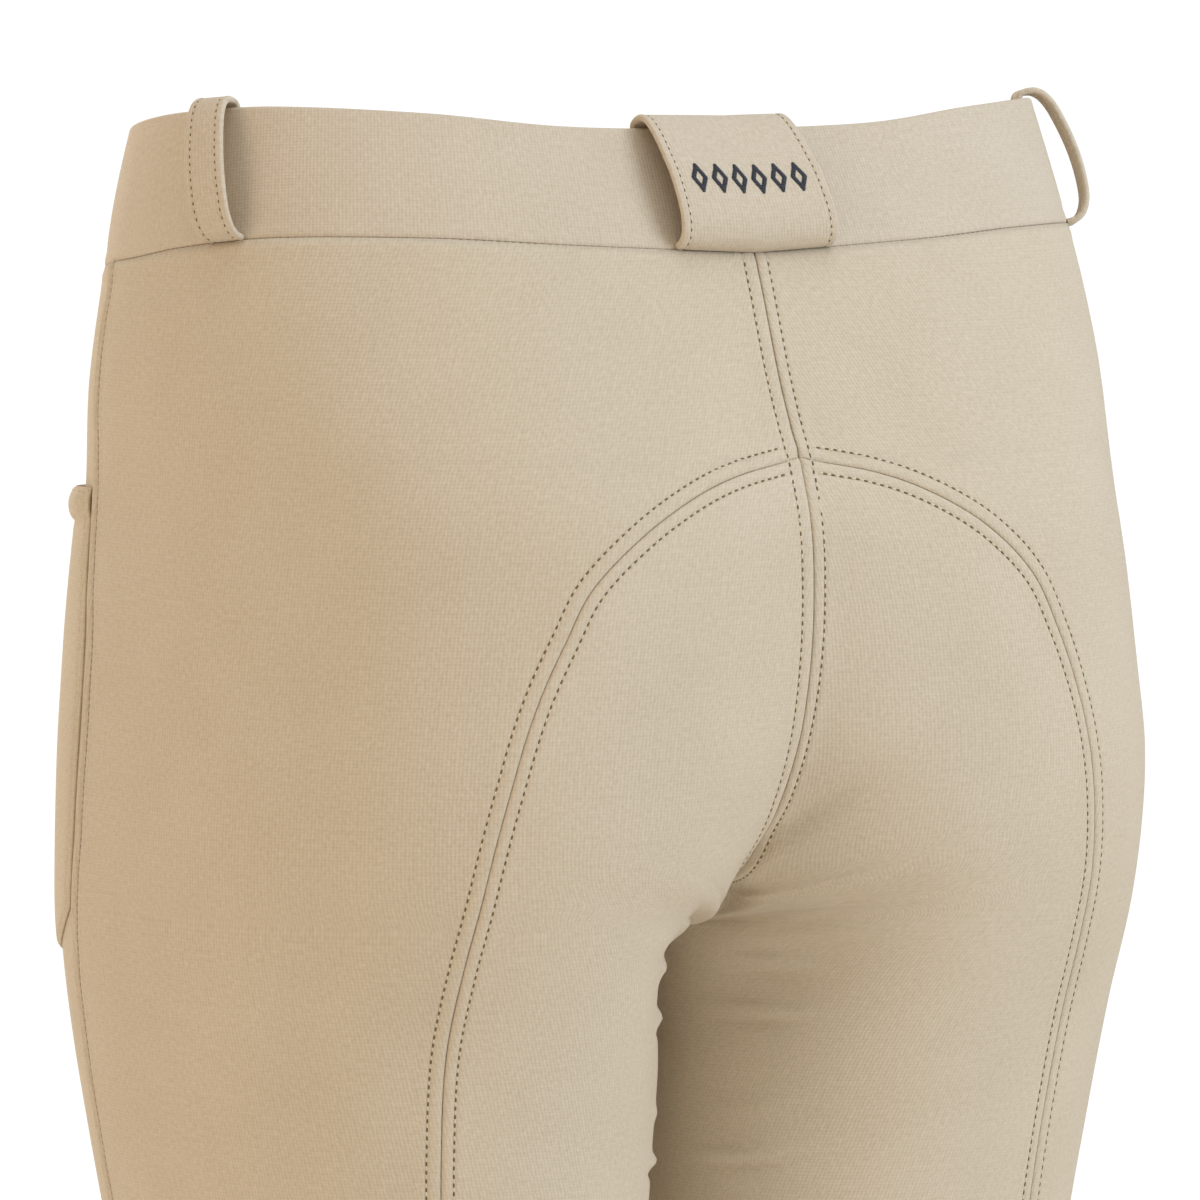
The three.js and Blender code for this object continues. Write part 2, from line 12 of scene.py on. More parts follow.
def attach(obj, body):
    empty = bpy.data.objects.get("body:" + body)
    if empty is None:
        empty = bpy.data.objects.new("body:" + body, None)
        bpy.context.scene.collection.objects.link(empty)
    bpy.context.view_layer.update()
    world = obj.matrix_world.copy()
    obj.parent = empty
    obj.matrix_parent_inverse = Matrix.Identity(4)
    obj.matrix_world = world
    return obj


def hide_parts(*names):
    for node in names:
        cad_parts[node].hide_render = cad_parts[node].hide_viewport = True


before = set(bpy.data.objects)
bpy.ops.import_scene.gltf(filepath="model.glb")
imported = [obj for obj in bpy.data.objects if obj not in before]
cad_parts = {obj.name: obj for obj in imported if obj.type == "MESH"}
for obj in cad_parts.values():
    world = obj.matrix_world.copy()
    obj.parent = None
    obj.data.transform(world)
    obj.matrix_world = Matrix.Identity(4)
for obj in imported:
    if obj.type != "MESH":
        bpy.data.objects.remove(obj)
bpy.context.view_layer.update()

scene = bpy.context.scene
mm = 0.001
print("stage: frame loaded")


# the camera stands behind the wearer, 30 degrees round to their left
photoView = {
    "azimuth": 150.0,
    "elevation": 4.0,
    "distance": 3.0,
    "widthSeen": 0.3609,
    "target": (-0.0026, 0.0015, -0.1103),
}


def towardsCamera(azimuth, elevation):
    a = math.radians(azimuth)
    e = math.radians(elevation)
    return Vector((math.sin(a) * math.cos(e), -math.cos(a) * math.cos(e), math.sin(e)))


viewAxis = towardsCamera(photoView["azimuth"], photoView["elevation"])
viewRight = Vector((-viewAxis.y, viewAxis.x, 0.0)).normalized()
viewUp = viewAxis.cross(viewRight).normalized()

cameraData = bpy.data.cameras.new("photoCamera")
cameraData.sensor_width = 36.0
cameraData.lens = 36.0 * photoView["distance"] / photoView["widthSeen"]
cameraData.clip_end = 200.0
camera = bpy.data.objects.new("photoCamera", cameraData)
camera.location = Vector(photoView["target"]) + viewAxis * photoView["distance"]
camera.rotation_mode = "QUATERNION"
camera.rotation_quaternion = viewAxis.to_track_quat("Z", "Y")
scene.collection.objects.link(camera)
scene.camera = camera
scene.view_settings.view_transform = "Standard"


def toLinear(hexColour):
    channels = [int(hexColour[i:i + 2], 16) / 255.0 for i in (1, 3, 5)]
    return tuple([c / 12.92 if c <= 0.04045 else ((c + 0.055) / 1.055) ** 2.4 for c in channels] + [1.0])


def addNode(tree, kind, settings=None, links=None):
    # settings and links are by socket name or number, or by the node's own property
    node = tree.nodes.new(kind)
    for key, value in (settings or {}).items():
        if isinstance(key, int) or key in node.inputs:
            node.inputs[key].default_value = value
        else:
            setattr(node, key, value)
    for key, source in (links or {}).items():
        tree.links.new(source, node.inputs[key])
    return node


def newMaterial(name):
    material = bpy.data.materials.new(name)
    material.use_nodes = True
    material.node_tree.nodes.clear()
    return material, material.node_tree


studio = {
    "floorHeight": -0.892,
    "floorColour": "#f3efe8",
    "paperGlow": 1.05,
    "airColour": "#fcf6ee",
    "airLight": 0.58,
    "lamps": [
        # name, sideways, upwards, towards the camera, size, watts, colour
        ("keyLamp", 2.1, 0.9, 1.1, 1.5, 41.0, "#d2e5ff"),
        ("fillLamp", -1.9, 0.2, 1.4, 1.5, 13.0, "#ffe2c8"),
        ("topLamp", 0.3, 2.3, 0.4, 1.8, 15.0, "#dfecff"),
        ("frontLamp", -1.2, 0.6, -2.1, 1.6, 22.0, "#fff0e0"),
    ],
}

floorMesh = bmesh.new()
bmesh.ops.create_circle(floorMesh, cap_ends=True, cap_tris=False, segments=96, radius=60.0)
bmesh.ops.translate(floorMesh, verts=floorMesh.verts, vec=(0, 0, studio["floorHeight"]))
floorData = bpy.data.meshes.new("studioFloor")
floorMesh.to_mesh(floorData)
floorMesh.free()
studioFloor = bpy.data.objects.new("studioFloor", floorData)
scene.collection.objects.link(studioFloor)
floorPaint, tree = newMaterial("mattFloorPaint")  # pale studio floor, seen as the same white as the air
diffuse = addNode(tree, "ShaderNodeBsdfDiffuse", {"Color": toLinear(studio["floorColour"])})
glow = addNode(tree, "ShaderNodeEmission", {"Color": (1, 1, 1, 1), "Strength": studio["paperGlow"]})
floorRays = addNode(tree, "ShaderNodeLightPath")
lit = addNode(tree, "ShaderNodeMixShader", {},
              {0: floorRays.outputs["Is Camera Ray"], 1: diffuse.outputs[0], 2: glow.outputs[0]})
addNode(tree, "ShaderNodeOutputMaterial", {}, {"Surface": lit.outputs[0]})
floorData.materials.append(floorPaint)

world = bpy.data.worlds.new("studioAir")
world.use_nodes = True
world.node_tree.nodes.clear()
rays = addNode(world.node_tree, "ShaderNodeLightPath")
air = addNode(world.node_tree, "ShaderNodeBackground",
              {"Color": toLinear(studio["airColour"]), "Strength": studio["airLight"]})
paper = addNode(world.node_tree, "ShaderNodeBackground",
                {"Color": (1, 1, 1, 1), "Strength": studio["paperGlow"]})
seen = addNode(world.node_tree, "ShaderNodeMixShader", {},
               {0: rays.outputs["Is Camera Ray"], 1: air.outputs[0], 2: paper.outputs[0]})
addNode(world.node_tree, "ShaderNodeOutputWorld", {}, {"Surface": seen.outputs[0]})
scene.world = world

for name, sideways, upwards, towards, size, watts, colour in studio["lamps"]:
    lampData = bpy.data.lights.new(name, "AREA")
    lampData.shape = "DISK"
    lampData.size = size
    lampData.energy = watts
    lampData.color = toLinear(colour)[:3]
    lamp = bpy.data.objects.new(name, lampData)
    offset = viewRight * sideways + viewUp * upwards + viewAxis * towards
    lamp.location = Vector(photoView["target"]) + offset
    lamp.rotation_mode = "QUATERNION"
    lamp.rotation_quaternion = offset.to_track_quat("Z", "Y")
    scene.collection.objects.link(lamp)
print("stage: camera, floor and lamps")


# the figure that the cloth is cut for, as the same sections and seam tables that the solids have
cut = {
    "cloth": 1.2,
    "bandCloth": 2.2,
    "seamGap": 0.3,
    "roundness": 2.15,
    "crotchY": 20.0,
    "crotchZ": -206.0,
    "seatLine": -100.0,
    "bellyLine": -80.0,
    "hemZ": -875.0,
    "crossingZ": -62.0,
    "archEndZ": -198.0,
    "sideCrossingZ": -58.0,
}

sections = (
    ("z", "xSide", "ySide", "xBack", "yBack", "yBackSeam", "xFront", "yFront", "yFrontSeam", "xInner"),
    [
        (80, 138, 3, 34, 54, 53, 40, -80, -79.4, 0),
        (40, 144, 3, 35, 73, 72.2, 40, -84, -83.4, 0),
        (0, 152, 3, 36, 95, 94.2, 42, -88, -87.4, 0),
        (-40, 158, 1, 40, 112, 110, 46, -90, -89.3, 0),
        (-75, 157.5, -3, 43, 129.5, 125.5, 50, -92, -91, 0),
        (-100, 160, -3, 48, 134, 128.5, 52, -92, -90, 0),
        (-128, 162.5, -3, 54, 135, 124.5, 55, -92, -88, 0),
        (-155, 165, -3, 60, 133.5, 112, 60, -91, -82, 0),
        (-185, 165.5, -5, 66, 126, 90, 66, -90, -62, 0),
        (-206, 165, -5, 70, 116.5, 20, 70, -90, 20, 0),
        (-231, 162, -5, 72, 106, 18, 72, -89, 18, 3),
        (-262, 157, -4, 72, 98.5, 16, 72, -87, 16, 5),
        (-300, 149.5, -2, 72, 93, 15, 72, -83, 15, 7),
        (-380, 135, 3, 73, 86, 18, 71, -70, 18, 11),
        (-460, 127, 4, 73, 72, 14, 72, -58, 14, 16),
        (-505, 126, 5, 74, 66, 12, 73, -54, 12, 20),
        (-550, 124, 10, 74, 68, 14, 73, -46, 14, 20),
        (-620, 126, 18, 75, 77, 20, 74, -35, 20, 20),
        (-700, 120, 24, 75, 74, 24, 75, -24, 24, 27),
        (-790, 110, 29, 76, 64, 29, 76, -9, 29, 39),
        (-875, 107, 32, 77, 64, 32, 77, -1, 32, 44),
    ],
)

waistEdges = (
    ("share", "seam", "top"),
    [
        (0, -3, 33), (0.14, 0, 34.5), (0.25, 2.5, 38.5), (0.37, 2.3, 40.3), (0.45, -1, 38.5),
        (0.51, -4.5, 36.3), (0.62, -9.5, 31), (0.8, -20, 21), (1, -26, 15.5),
    ],
)

seatSeam = (
    ("z", "x"),
    [
        (-62, 0), (-66, 22), (-72, 39.5), (-82, 57.5), (-96.5, 74), (-112, 83), (-128, 90.5), (-146, 96.5),
        (-170, 101.5), (-200, 104.5), (-231, 105), (-262, 103), (-300, 100), (-380, 96), (-505, 91),
        (-620, 88), (-750, 82), (-875, 80),
    ],
)

sideSeam = (
    ("z", "forward"),
    [
        (0, 20), (-60, 18), (-90, 15), (-120, 10), (-170, 9), (-215, 14), (-262, 17), (-300, 18),
        (-505, 10), (-875, 0),
    ],
)

# row numbers from 0 at the waist: where the seams cross, where the legs part, where their rows
# grow longer, and the hem
seamRows = {"crossing": 5.0, "crotch": 16.0, "thigh": 20.0, "hem": 38.0}
overCrotch = seamRows["crotch"] - 0.001
rowEase = {"arch": 1.7, "leg": 1.15}
girthSteps = 160


def smoothStep(t):
    return t * t * (3 - 2 * t)


def between(first, last, share):
    return first + (last - first) * share


def unit(vectors):
    return vectors / np.maximum(np.linalg.norm(vectors, axis=-1, keepdims=True), 1e-9)


def waysAlong(line):
    # the way from the start of a line of points to each of them
    return np.concatenate([[0], np.cumsum(np.linalg.norm(np.diff(line, axis=0), axis=1))])


def curveThrough(values, slopes, width, i, t):
    # a smooth curve at the share t of the step from value i to the next
    h = (1 - t) ** 2
    rising = (1 + 2 * t) * h * values[i] + t * h * width * slopes[i]
    return rising + smoothStep(t) * values[i + 1] + t * t * (t - 1) * width * slopes[i + 1]


def along(table, at, column):
    # a smooth curve through a table's rows
    names, rows = table
    data = np.array(sorted(rows), float)
    keys = data[:, 0]
    values = data[:, names.index(column)]
    last = len(keys) - 1
    after = np.minimum(np.arange(last + 1) + 1, last)
    before = np.maximum(np.arange(last + 1) - 1, 0)
    slopes = (values[after] - values[before]) / (keys[after] - keys[before])
    x = np.clip(np.asarray(at, float), keys[0], keys[-1])
    i = np.clip(np.searchsorted(keys, x, side="right") - 1, 0, last - 1)
    width = keys[i + 1] - keys[i]
    return curveThrough(values, slopes, width, i, (x - keys[i]) / width)


def figureAt(z):
    z = np.asarray(z, float)
    figure = {name: along(sections, z, name) for name in sections[0][1:]}
    leg = z <= cut["crotchZ"]
    figure["yInner"] = np.where(leg, figure["yBackSeam"], cut["crotchY"])

    def under(start, column):
        drop = np.clip((start - z) / (start - cut["crotchZ"]), 0, 1)
        y = along(sections, start, column)
        return cut["crotchY"] + (y - cut["crotchY"]) * np.sqrt(1 - drop * drop)

    def reach(x, y, ySeam):
        r = np.clip((ySeam - cut["crotchY"]) / (y - cut["crotchY"]), 0, 0.995)
        n = cut["roundness"]
        return x - x / (1 - r ** n) ** (1 / n)

    back = np.where(z < cut["seatLine"], under(cut["seatLine"], "yBackSeam"), figure["yBackSeam"])
    front = np.where(z < cut["bellyLine"], under(cut["bellyLine"], "yFrontSeam"), figure["yFrontSeam"])
    figure["xInnerBack"] = np.where(leg, figure["xInner"], reach(figure["xBack"], figure["yBack"], back))
    figure["xInnerFront"] = np.where(leg, figure["xInner"], reach(figure["xFront"], figure["yFront"], front))
    return figure


def ringPoint(turn, figure):
    # turn is 0 at the inside leg, 1 at the back, 2 at the side, 3 at the front and 4 at the inside leg
    quarter = np.clip(np.floor(turn), 0, 3)
    angle = np.where(quarter % 2 == 1, turn - quarter, quarter + 1 - turn) * (math.pi / 2)
    s = np.abs(np.sin(angle))
    c = np.abs(np.cos(angle))
    n = cut["roundness"]
    size = (s ** n + c ** n) ** (-1 / n)
    front = quarter > 1
    inner = (quarter == 0) | (quarter == 3)
    xFull = np.where(front, figure["xFront"], figure["xBack"])
    yFull = np.where(front, figure["yFront"], figure["yBack"])
    xInner = np.where(front, figure["xInnerFront"], figure["xInnerBack"])
    xEnd = np.where(inner, xInner, figure["xSide"])
    yEnd = np.where(inner, figure["yInner"], figure["ySide"])
    return xFull + (xEnd - xFull) * s * size, yEnd + (yFull - yEnd) * c * size


def turnAtX(x, figure, front):
    xFull = figure["xFront"] if front else figure["xBack"]
    xInner = figure["xInnerFront"] if front else figure["xInnerBack"]
    inner = x < xFull
    xEnd = np.where(inner, xInner, figure["xSide"])
    share = np.clip((x - xFull) / (xEnd - xFull), 0, 1)
    n = cut["roundness"]
    rest = (1 - share ** n) ** (1 / n)
    quarter = np.arctan2(share, rest) / (math.pi / 2)
    return (3 if front else 1) + np.where(inner == front, quarter, -quarter)


def makeGirthTables():
    # girth along the ring of each height, from the figure's side and positive towards the front
    nearCrotch = cut["crotchZ"] + 6 * (np.arange(1, 61) / 60) ** 2
    heights = np.unique(np.concatenate([np.arange(-880.0, 90.5, 1.0), nearCrotch, [cut["crotchZ"]]]))
    figure = {name: np.asarray(value)[:, None] for name, value in figureAt(heights).items()}
    x, y = ringPoint(np.linspace(0, 4, girthSteps + 1)[None, :], figure)
    lengths = np.zeros(x.shape)
    lengths[:, 1:] = np.cumsum(np.hypot(np.diff(x, axis=1), np.diff(y, axis=1)), axis=1)
    side = girthSteps // 2
    return heights, lengths - lengths[:, side:side + 1]


tableHeights, tableGirths = makeGirthTables()


def inSlices(function, a, b):
    a, b = np.broadcast_arrays(np.asarray(a, float), np.asarray(b, float))
    flatA, flatB = a.ravel(), b.ravel()
    parts = [function(flatA[i:i + 4000], flatB[i:i + 4000]) for i in range(0, len(flatA), 4000)]
    return np.concatenate(parts).reshape(a.shape)


def girthRow(z):
    i = np.clip(np.searchsorted(tableHeights, z, side="right") - 1, 0, len(tableHeights) - 2)
    t = np.clip((z - tableHeights[i]) / (tableHeights[i + 1] - tableHeights[i]), 0, 1)[:, None]
    return tableGirths[i] * (1 - t) + tableGirths[i + 1] * t


def girthAtTurn(turn, z):
    def look(turns, heights):
        lengths = girthRow(heights)
        at = np.clip(turns / 4 * girthSteps, 0, girthSteps - 1e-9)
        low = at.astype(int)
        row = np.arange(len(low))
        return lengths[row, low] + (lengths[row, low + 1] - lengths[row, low]) * (at - low)
    return inSlices(look, turn, z)


def turnAtGirth(girth, z):
    def look(girths, heights):
        lengths = girthRow(heights)
        low = np.clip((lengths <= girths[:, None]).sum(axis=1) - 1, 0, girthSteps - 1)
        row = np.arange(len(low))
        part = (girths - lengths[row, low]) / (lengths[row, low + 1] - lengths[row, low])
        return np.clip((low + part) / girthSteps * 4, 0, 4)
    return inSlices(look, girth, z)


def clothPlace(girth, z):
    # a place on the outer face of the left half's cloth, and its outward direction
    turn = turnAtGirth(girth, z)

    def at(dTurn, dz):
        x, y = ringPoint(np.clip(turn + dTurn, 0, 4), figureAt(z + dz))
        return np.stack([x, y, z + dz + 0 * x], axis=-1)

    round = at(0.01, 0) - at(-0.01, 0)
    upwards = at(0, 0.6) - at(0, -0.6)
    return at(0, 0), unit(np.cross(upwards, round))


def backSeamGirth(z):
    return girthAtTurn(turnAtX(0 * z, figureAt(z), False), z)


def frontSeamGirth(z):
    return girthAtTurn(turnAtX(0 * z, figureAt(z), True), z)


def sideGirth(z):
    return along(sideSeam, z, "forward")


def seatGirth(z):
    x = np.maximum(along(seatSeam, z, "x"), 0)
    return girthAtTurn(turnAtX(x, figureAt(z), False), z)


def findWaist():
    girth = np.linspace(-260, 260, 261)
    z = 0 * girth
    for _ in range(6):
        back = backSeamGirth(z)
        share = np.clip((girth - back) / (frontSeamGirth(z) - back), 0, 1)
        z = along(waistEdges, share, "seam")
    return girth, z


waistGirths, waistHeights = findWaist()


def waistZ(girth):
    return np.interp(girth, waistGirths, waistHeights)


def seamLine(name, r):
    # girth and height of a seam at row numbers
    r = np.asarray(r, float)
    crossing, crotch, _, hem = seamRows.values()
    upper = r / crossing
    middle = (r - crossing) / (crotch - crossing)
    lower = np.clip((r - crotch) / (hem - crotch), 0, 1) ** rowEase["leg"]
    isUpper = r < crossing
    isLeg = r >= crotch
    legZ = between(cut["crotchZ"], cut["hemZ"], lower)
    if name == "back":
        high = between(waistEdges[1][0][1], cut["crossingZ"], upper)
        curve = between(cut["crossingZ"], cut["crotchZ"], np.sin(np.clip(middle, 0, 1) * math.pi / 2))
        z = np.where(isLeg, legZ, np.where(isUpper, high, curve))
        return np.where(isLeg, girthAtTurn(0 * z, z), backSeamGirth(z)), z
    if name == "front":
        way = np.sin(np.clip(r / crotch, 0, 1) * math.pi / 2)
        z = np.where(isLeg, legZ, between(waistEdges[1][-1][1], cut["crotchZ"], way))
        return np.where(isLeg, girthAtTurn(4 + 0 * z, z), frontSeamGirth(z)), z
    if name == "seat":
        arch = (crotch - crossing) / (hem - crossing)
        way = np.clip((r - crossing) / (hem - crossing), 0, 1)
        high = between(cut["crossingZ"], cut["archEndZ"], np.clip(way / arch, 0, 1) ** rowEase["arch"])
        part = np.clip((way - arch) / (1 - arch), 0, 1) ** rowEase["leg"]
        z = np.where(way < arch, high, between(cut["archEndZ"], cut["hemZ"], part))
        return seatGirth(z), z
    if name == "backEdge":
        backG, backZ = seamLine("back", r)
        seatG, seatZ = seamLine("seat", r)
        return np.where(isUpper, backG, seatG), np.where(isUpper, backZ, seatZ)
    high = between(float(waistZ(sideSeam[1][0][1])), cut["sideCrossingZ"], upper)
    z = np.where(isUpper, high, between(cut["sideCrossingZ"], cut["archEndZ"], middle))
    z = np.where(isLeg, between(cut["archEndZ"], cut["hemZ"], lower), z)
    return sideGirth(z), z


# seams, stitch rows, puckers and folds, in millimetres of lift from the smooth cloth
relief = {
    "edgeRoll": 0.30,
    "rollWidth": 0.6,
    "welt": 0.45,          # the seam allowance that lies under the cloth
    "outerRow": 4.3,       # topstitching on the outside of a seam
    "innerRow": 3.7,       # and on its inside
    "rowDepth": 0.42,
    "rowWidth": 0.75,
    "sideWelt": 1.05,
    "backSideWelt": 0.25,
    "frontWelt": 0.3,
    "insideLegPucker": 0.9,
    "nearMiddle": 9.0,     # within this distance of the middle the cloth is lifted upright
    "hemHeight": 24.0,
    "hemRow": 22.0,
    "hemLift": 0.35,
    "folds": [
        # girth, z, across, high, turned by, lift, halves
        (-234, -220, 32, 18, 0, -4.4, "both"),      # the inside of the thigh cuts in under the seat
        (-208, -290, 30, 26, 0, 1.3, "both"),
        (-256, -198, 17, 8, 0, 3.6, "Left"),        # and the seat swells over the seam above it
        (-241, -208.5, 26, 5.5, 0, -3.0, "Left"),
        (-243, -204, 10, 1.5, 6, -0.4, "both"),     # short puckers on the inside of the thigh
        (-237, -214, 11, 2.0, -5, 1.7, "both"),
        (-236, -218, 10, 1.6, -5, -0.7, "both"),
        (-230, -228.5, 12, 1.9, -4, 1.8, "both"),
        (-229, -232.5, 10, 1.7, -4, -0.9, "both"),
        (-216, -257, 11, 2.4, 5, 0.7, "both"),
        (-213, -271.5, 12, 1.9, 3, 1.7, "both"),
        (-212, -275.5, 10, 1.6, 3, -1.0, "both"),
        (-206, -296, 12, 2.2, -3, 1.0, "both"),
        (-199, -322, 12, 2.6, 3, 1.0, "both"),
        (-193, -347, 12, 2.4, -4, 0.9, "both"),
        (-251, -168, 18, 4.5, 34, -1.9, "Right"),   # the trough that runs up from the crotch
        (-256, -180, 14, 5.0, 30, 0.9, "Right"),
        (-265, -195, 9, 6.0, 15, -4.6, "Right"),
        (-110, -492, 45, 9, 0, 2.0, "both"),        # bends behind the knee
        (-100, -512, 50, 8, 0, -2.2, "both"),
        (-105, -532, 42, 9, 0, 1.8, "both"),
        (20, -840, 60, 8, 0, 1.4, "both"),          # cloth that settles over the foot
        (-60, -822, 55, 8, 0, 1.3, "both"),
    ],
}


def softNoise(at, wavelength, seed):
    values = np.random.RandomState(seed).uniform(-1, 1, 4096)
    x = np.asarray(at, float) / wavelength + 1000.0
    i = np.floor(x).astype(int)
    t = smoothStep(x - i)
    return values[i % 4096] * (1 - t) + values[(i + 1) % 4096] * t


def bump(x, centre, width):
    return np.exp(-((x - centre) / width) ** 2)


def edgeRoll(d):
    return -relief["edgeRoll"] * np.clip(1 - d / relief["rollWidth"], 0, 1) ** 2


def rowLift(d, row):
    # the allowance lifts the cloth between the ditch and the stitch row, which pulls it down again
    welt = relief["welt"] * np.clip(d / 1.1, 0, 1) * np.clip((row + 3.6 - d) / 4.2, 0, 1)
    return welt - relief["rowDepth"] * bump(d, row, relief["rowWidth"])


def topstitchedSeam(d, way, row, seed):
    pull = 0.13 * softNoise(way, 4.6, seed + 1) * bump(d, row * 0.5, 1.2)
    ruffle = 0.16 * softNoise(way, 9.0, seed + 2) * bump(d, row + 3.4, 2.6)
    return edgeRoll(d) + rowLift(d, row) + pull + ruffle


def plainSeam(d, way, welt, seed):
    # pressed to one side, with a rounded welt over the allowance
    rise = welt * bump(d, 1.9, 1.15)
    ripple = 0.24 * softNoise(way, 9.0, seed) * bump(d, 3.0, 3.0)
    return 2.6 * edgeRoll(d) + rise + ripple


def insideLegSeam(d, way, seed):
    # stretched while it was sewn, so the cloth beside it springs back in short puckers
    ripple = softNoise(way, 8.5, seed) + 0.5 * softNoise(way, 4.6, seed + 1)
    return edgeRoll(d) + relief["insideLegPucker"] * ripple * np.exp(-d / 9.0) * np.clip(d / 1.2, 0.3, 1)


def clothWave(girth, z):
    # the slight unevenness of cloth that is pulled smooth
    a = softNoise(girth * 0.8 + z * 0.6, 46.0, 40) * softNoise(z * 0.9 - girth * 0.4, 60.0, 41)
    b = softNoise(girth * 0.5 - z * 0.9, 24.0, 42) * softNoise(z * 0.5 + girth, 38.0, 43)
    return 0.5 * a + 0.16 * b


def foldLift(girth, z, side):
    lift = 0 * girth
    for place, height, across, high, turned, deep, halves in relief["folds"]:
        if halves not in ("both", side):
            continue
        c, s = math.cos(math.radians(turned)), math.sin(math.radians(turned))
        round, up = girth - place, z - height
        longways = (round * c + up * s) / across
        lift = lift + deep * np.exp(-longways ** 2 - ((up * c - round * s) / high) ** 2)
    return lift


def easeCrotch(points, z, distance):
    # the cloth takes the corner under the seat in a curve, away from the seams
    ease = bump(z, cut["crotchZ"], 26.0) * np.clip((distance - 4.0) / 10.0, 0, 1)
    ease = ease[1:-1, :, None]
    for _ in range(40):
        points[1:-1] += ease * (0.25 * points[:-2] + 0.25 * points[2:] - 0.5 * points[1:-1])
    return points


def keepToHalf(points):
    points[..., 0] = np.maximum(points[..., 0], 0.02)  # each half stays on its own side of the middle
    return points


def nearestOn(points, line):
    # distance to a line of points in space, and the way along it, for each point of a grid
    flat = points.reshape(-1, 3)
    ways = waysAlong(line)
    squares = (line ** 2).sum(axis=1)
    distances = np.empty(len(flat))
    found = np.empty(len(flat))
    for i in range(0, len(flat), 3000):
        part = flat[i:i + 3000]
        gap = (part ** 2).sum(axis=1)[:, None] - 2 * part @ line.T + squares
        k = np.clip(gap.argmin(axis=1), 1, len(line) - 2)
        best = np.full(len(part), 1e9)
        where = np.zeros(len(part))
        for first in (k - 1, k):
            a = line[first]
            ab = line[first + 1] - a
            t = np.clip(((part - a) * ab).sum(axis=1) / np.maximum((ab * ab).sum(axis=1), 1e-12), 0, 1)
            d = np.linalg.norm(part - a - ab * t[:, None], axis=1)
            closer = d < best
            best = np.where(closer, d, best)
            where = np.where(closer, between(ways[first], ways[first + 1], t), where)
        distances[i:i + 3000] = best
        found[i:i + 3000] = where
    return distances.reshape(points.shape[:-1]), found.reshape(points.shape[:-1])


def seamTrace(name, rFrom, rTo, count):
    girth, z = seamLine(name, np.linspace(rFrom, rTo, count))
    return clothPlace(girth, z)[0]


traces = {
    "centreBack": seamTrace("back", 0, overCrotch, 500),
    "insideLeg": seamTrace("back", seamRows["crotch"], seamRows["hem"], 700),
    "seat": seamTrace("seat", seamRows["crossing"], seamRows["hem"], 1100),
    "side": seamTrace("side", 0, seamRows["hem"], 900),
    "centreFront": seamTrace("front", 0, overCrotch, 400),
}

cleft = {
    "bridge": 5.0,
    "steepest": 0.6,
    "fadeZ": -192.0,  # it fades out over this many millimetres above this height
    "fadeHeight": 26.0,
}


def measureCleft():
    # how steeply each half rises from the centre back seam, by the way along it
    girth, z = seamLine("back", np.linspace(0, overCrotch, 500))
    normals = clothPlace(girth, z)[1]
    slopes = np.clip(-normals[:, 0] / np.maximum(normals[:, 1], 0.2), 0, cleft["steepest"])
    fade = np.clip((z - cleft["fadeZ"]) / cleft["fadeHeight"], 0, 1)
    return waysAlong(traces["centreBack"]), slopes * fade


cleftWays, cleftSlopes = measureCleft()
print("stage: figure and seams")


def gridMesh(points, uv, mirrored=False):
    # points are rows from the top by columns towards the front; faces point out of the cloth
    rows, columns = points.shape[0] - 1, points.shape[1] - 1
    mesh = bmesh.new()
    pattern = mesh.loops.layers.uv.new("cutPattern")
    bmesh.ops.create_grid(mesh, x_segments=columns, y_segments=rows, size=1.0)
    side = -1.0 if mirrored else 1.0
    spots = {}
    for vertex in mesh.verts:
        spots[vertex] = (round((vertex.co.y + 1) / 2 * rows), round((vertex.co.x + 1) / 2 * columns))
    for face in mesh.faces:
        for corner in face.loops:
            corner[pattern].uv = uv[spots[corner.vert]]
    for vertex, spot in spots.items():
        x, y, z = points[spot]
        vertex.co = (side * x * mm, y * mm, z * mm)
    if mirrored:
        bmesh.ops.reverse_faces(mesh, faces=mesh.faces)
    return mesh


def cutPattern(girth, z):
    # a place in the pattern, which the weave follows
    return np.stack(np.broadcast_arrays(girth * mm, z * mm), axis=-1)


def newPiece(name, data):
    data.shade_smooth()
    piece = bpy.data.objects.new(name, data)
    scene.collection.objects.link(piece)
    return piece


def finishMesh(name, mesh):
    data = bpy.data.meshes.new(name)
    mesh.to_mesh(data)
    mesh.free()
    return newPiece(name, data)


def closedStrip(name, points, uv):
    # a strip with a round section: its columns meet, and its two ends are closed
    mesh = gridMesh(points, uv)
    bmesh.ops.remove_doubles(mesh, verts=mesh.verts, dist=2e-6)
    open = [edge for edge in mesh.edges if edge.is_boundary]
    bmesh.ops.holes_fill(mesh, edges=open, sides=0)
    bmesh.ops.recalc_face_normals(mesh, faces=mesh.faces)
    return finishMesh(name, mesh)


def giveWall(piece, thickness):
    wall = piece.modifiers.new("clothWall", "SOLIDIFY")
    wall.thickness = thickness * mm
    wall.offset = -1.0
    wall.use_even_offset = False


def dress(piece, material, slot, *nodes):
    piece.data.materials.append(material)
    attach(piece, "root")
    if nodes:
        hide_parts(*nodes)


def smallShape():
    # one stitch of thread: a ball of six by four faces, drawn out along the seam
    shape = bmesh.new()
    bmesh.ops.create_uvsphere(shape, u_segments=6, v_segments=4, radius=1.0)
    points = np.array([vertex.co[:] for vertex in shape.verts])
    faces = [[vertex.index for vertex in face.verts] for face in shape.faces]
    shape.free()
    return points, faces


stitchPoints, stitchFaces = smallShape()
otherSide = np.array([-1.0, 1.0, 1.0])


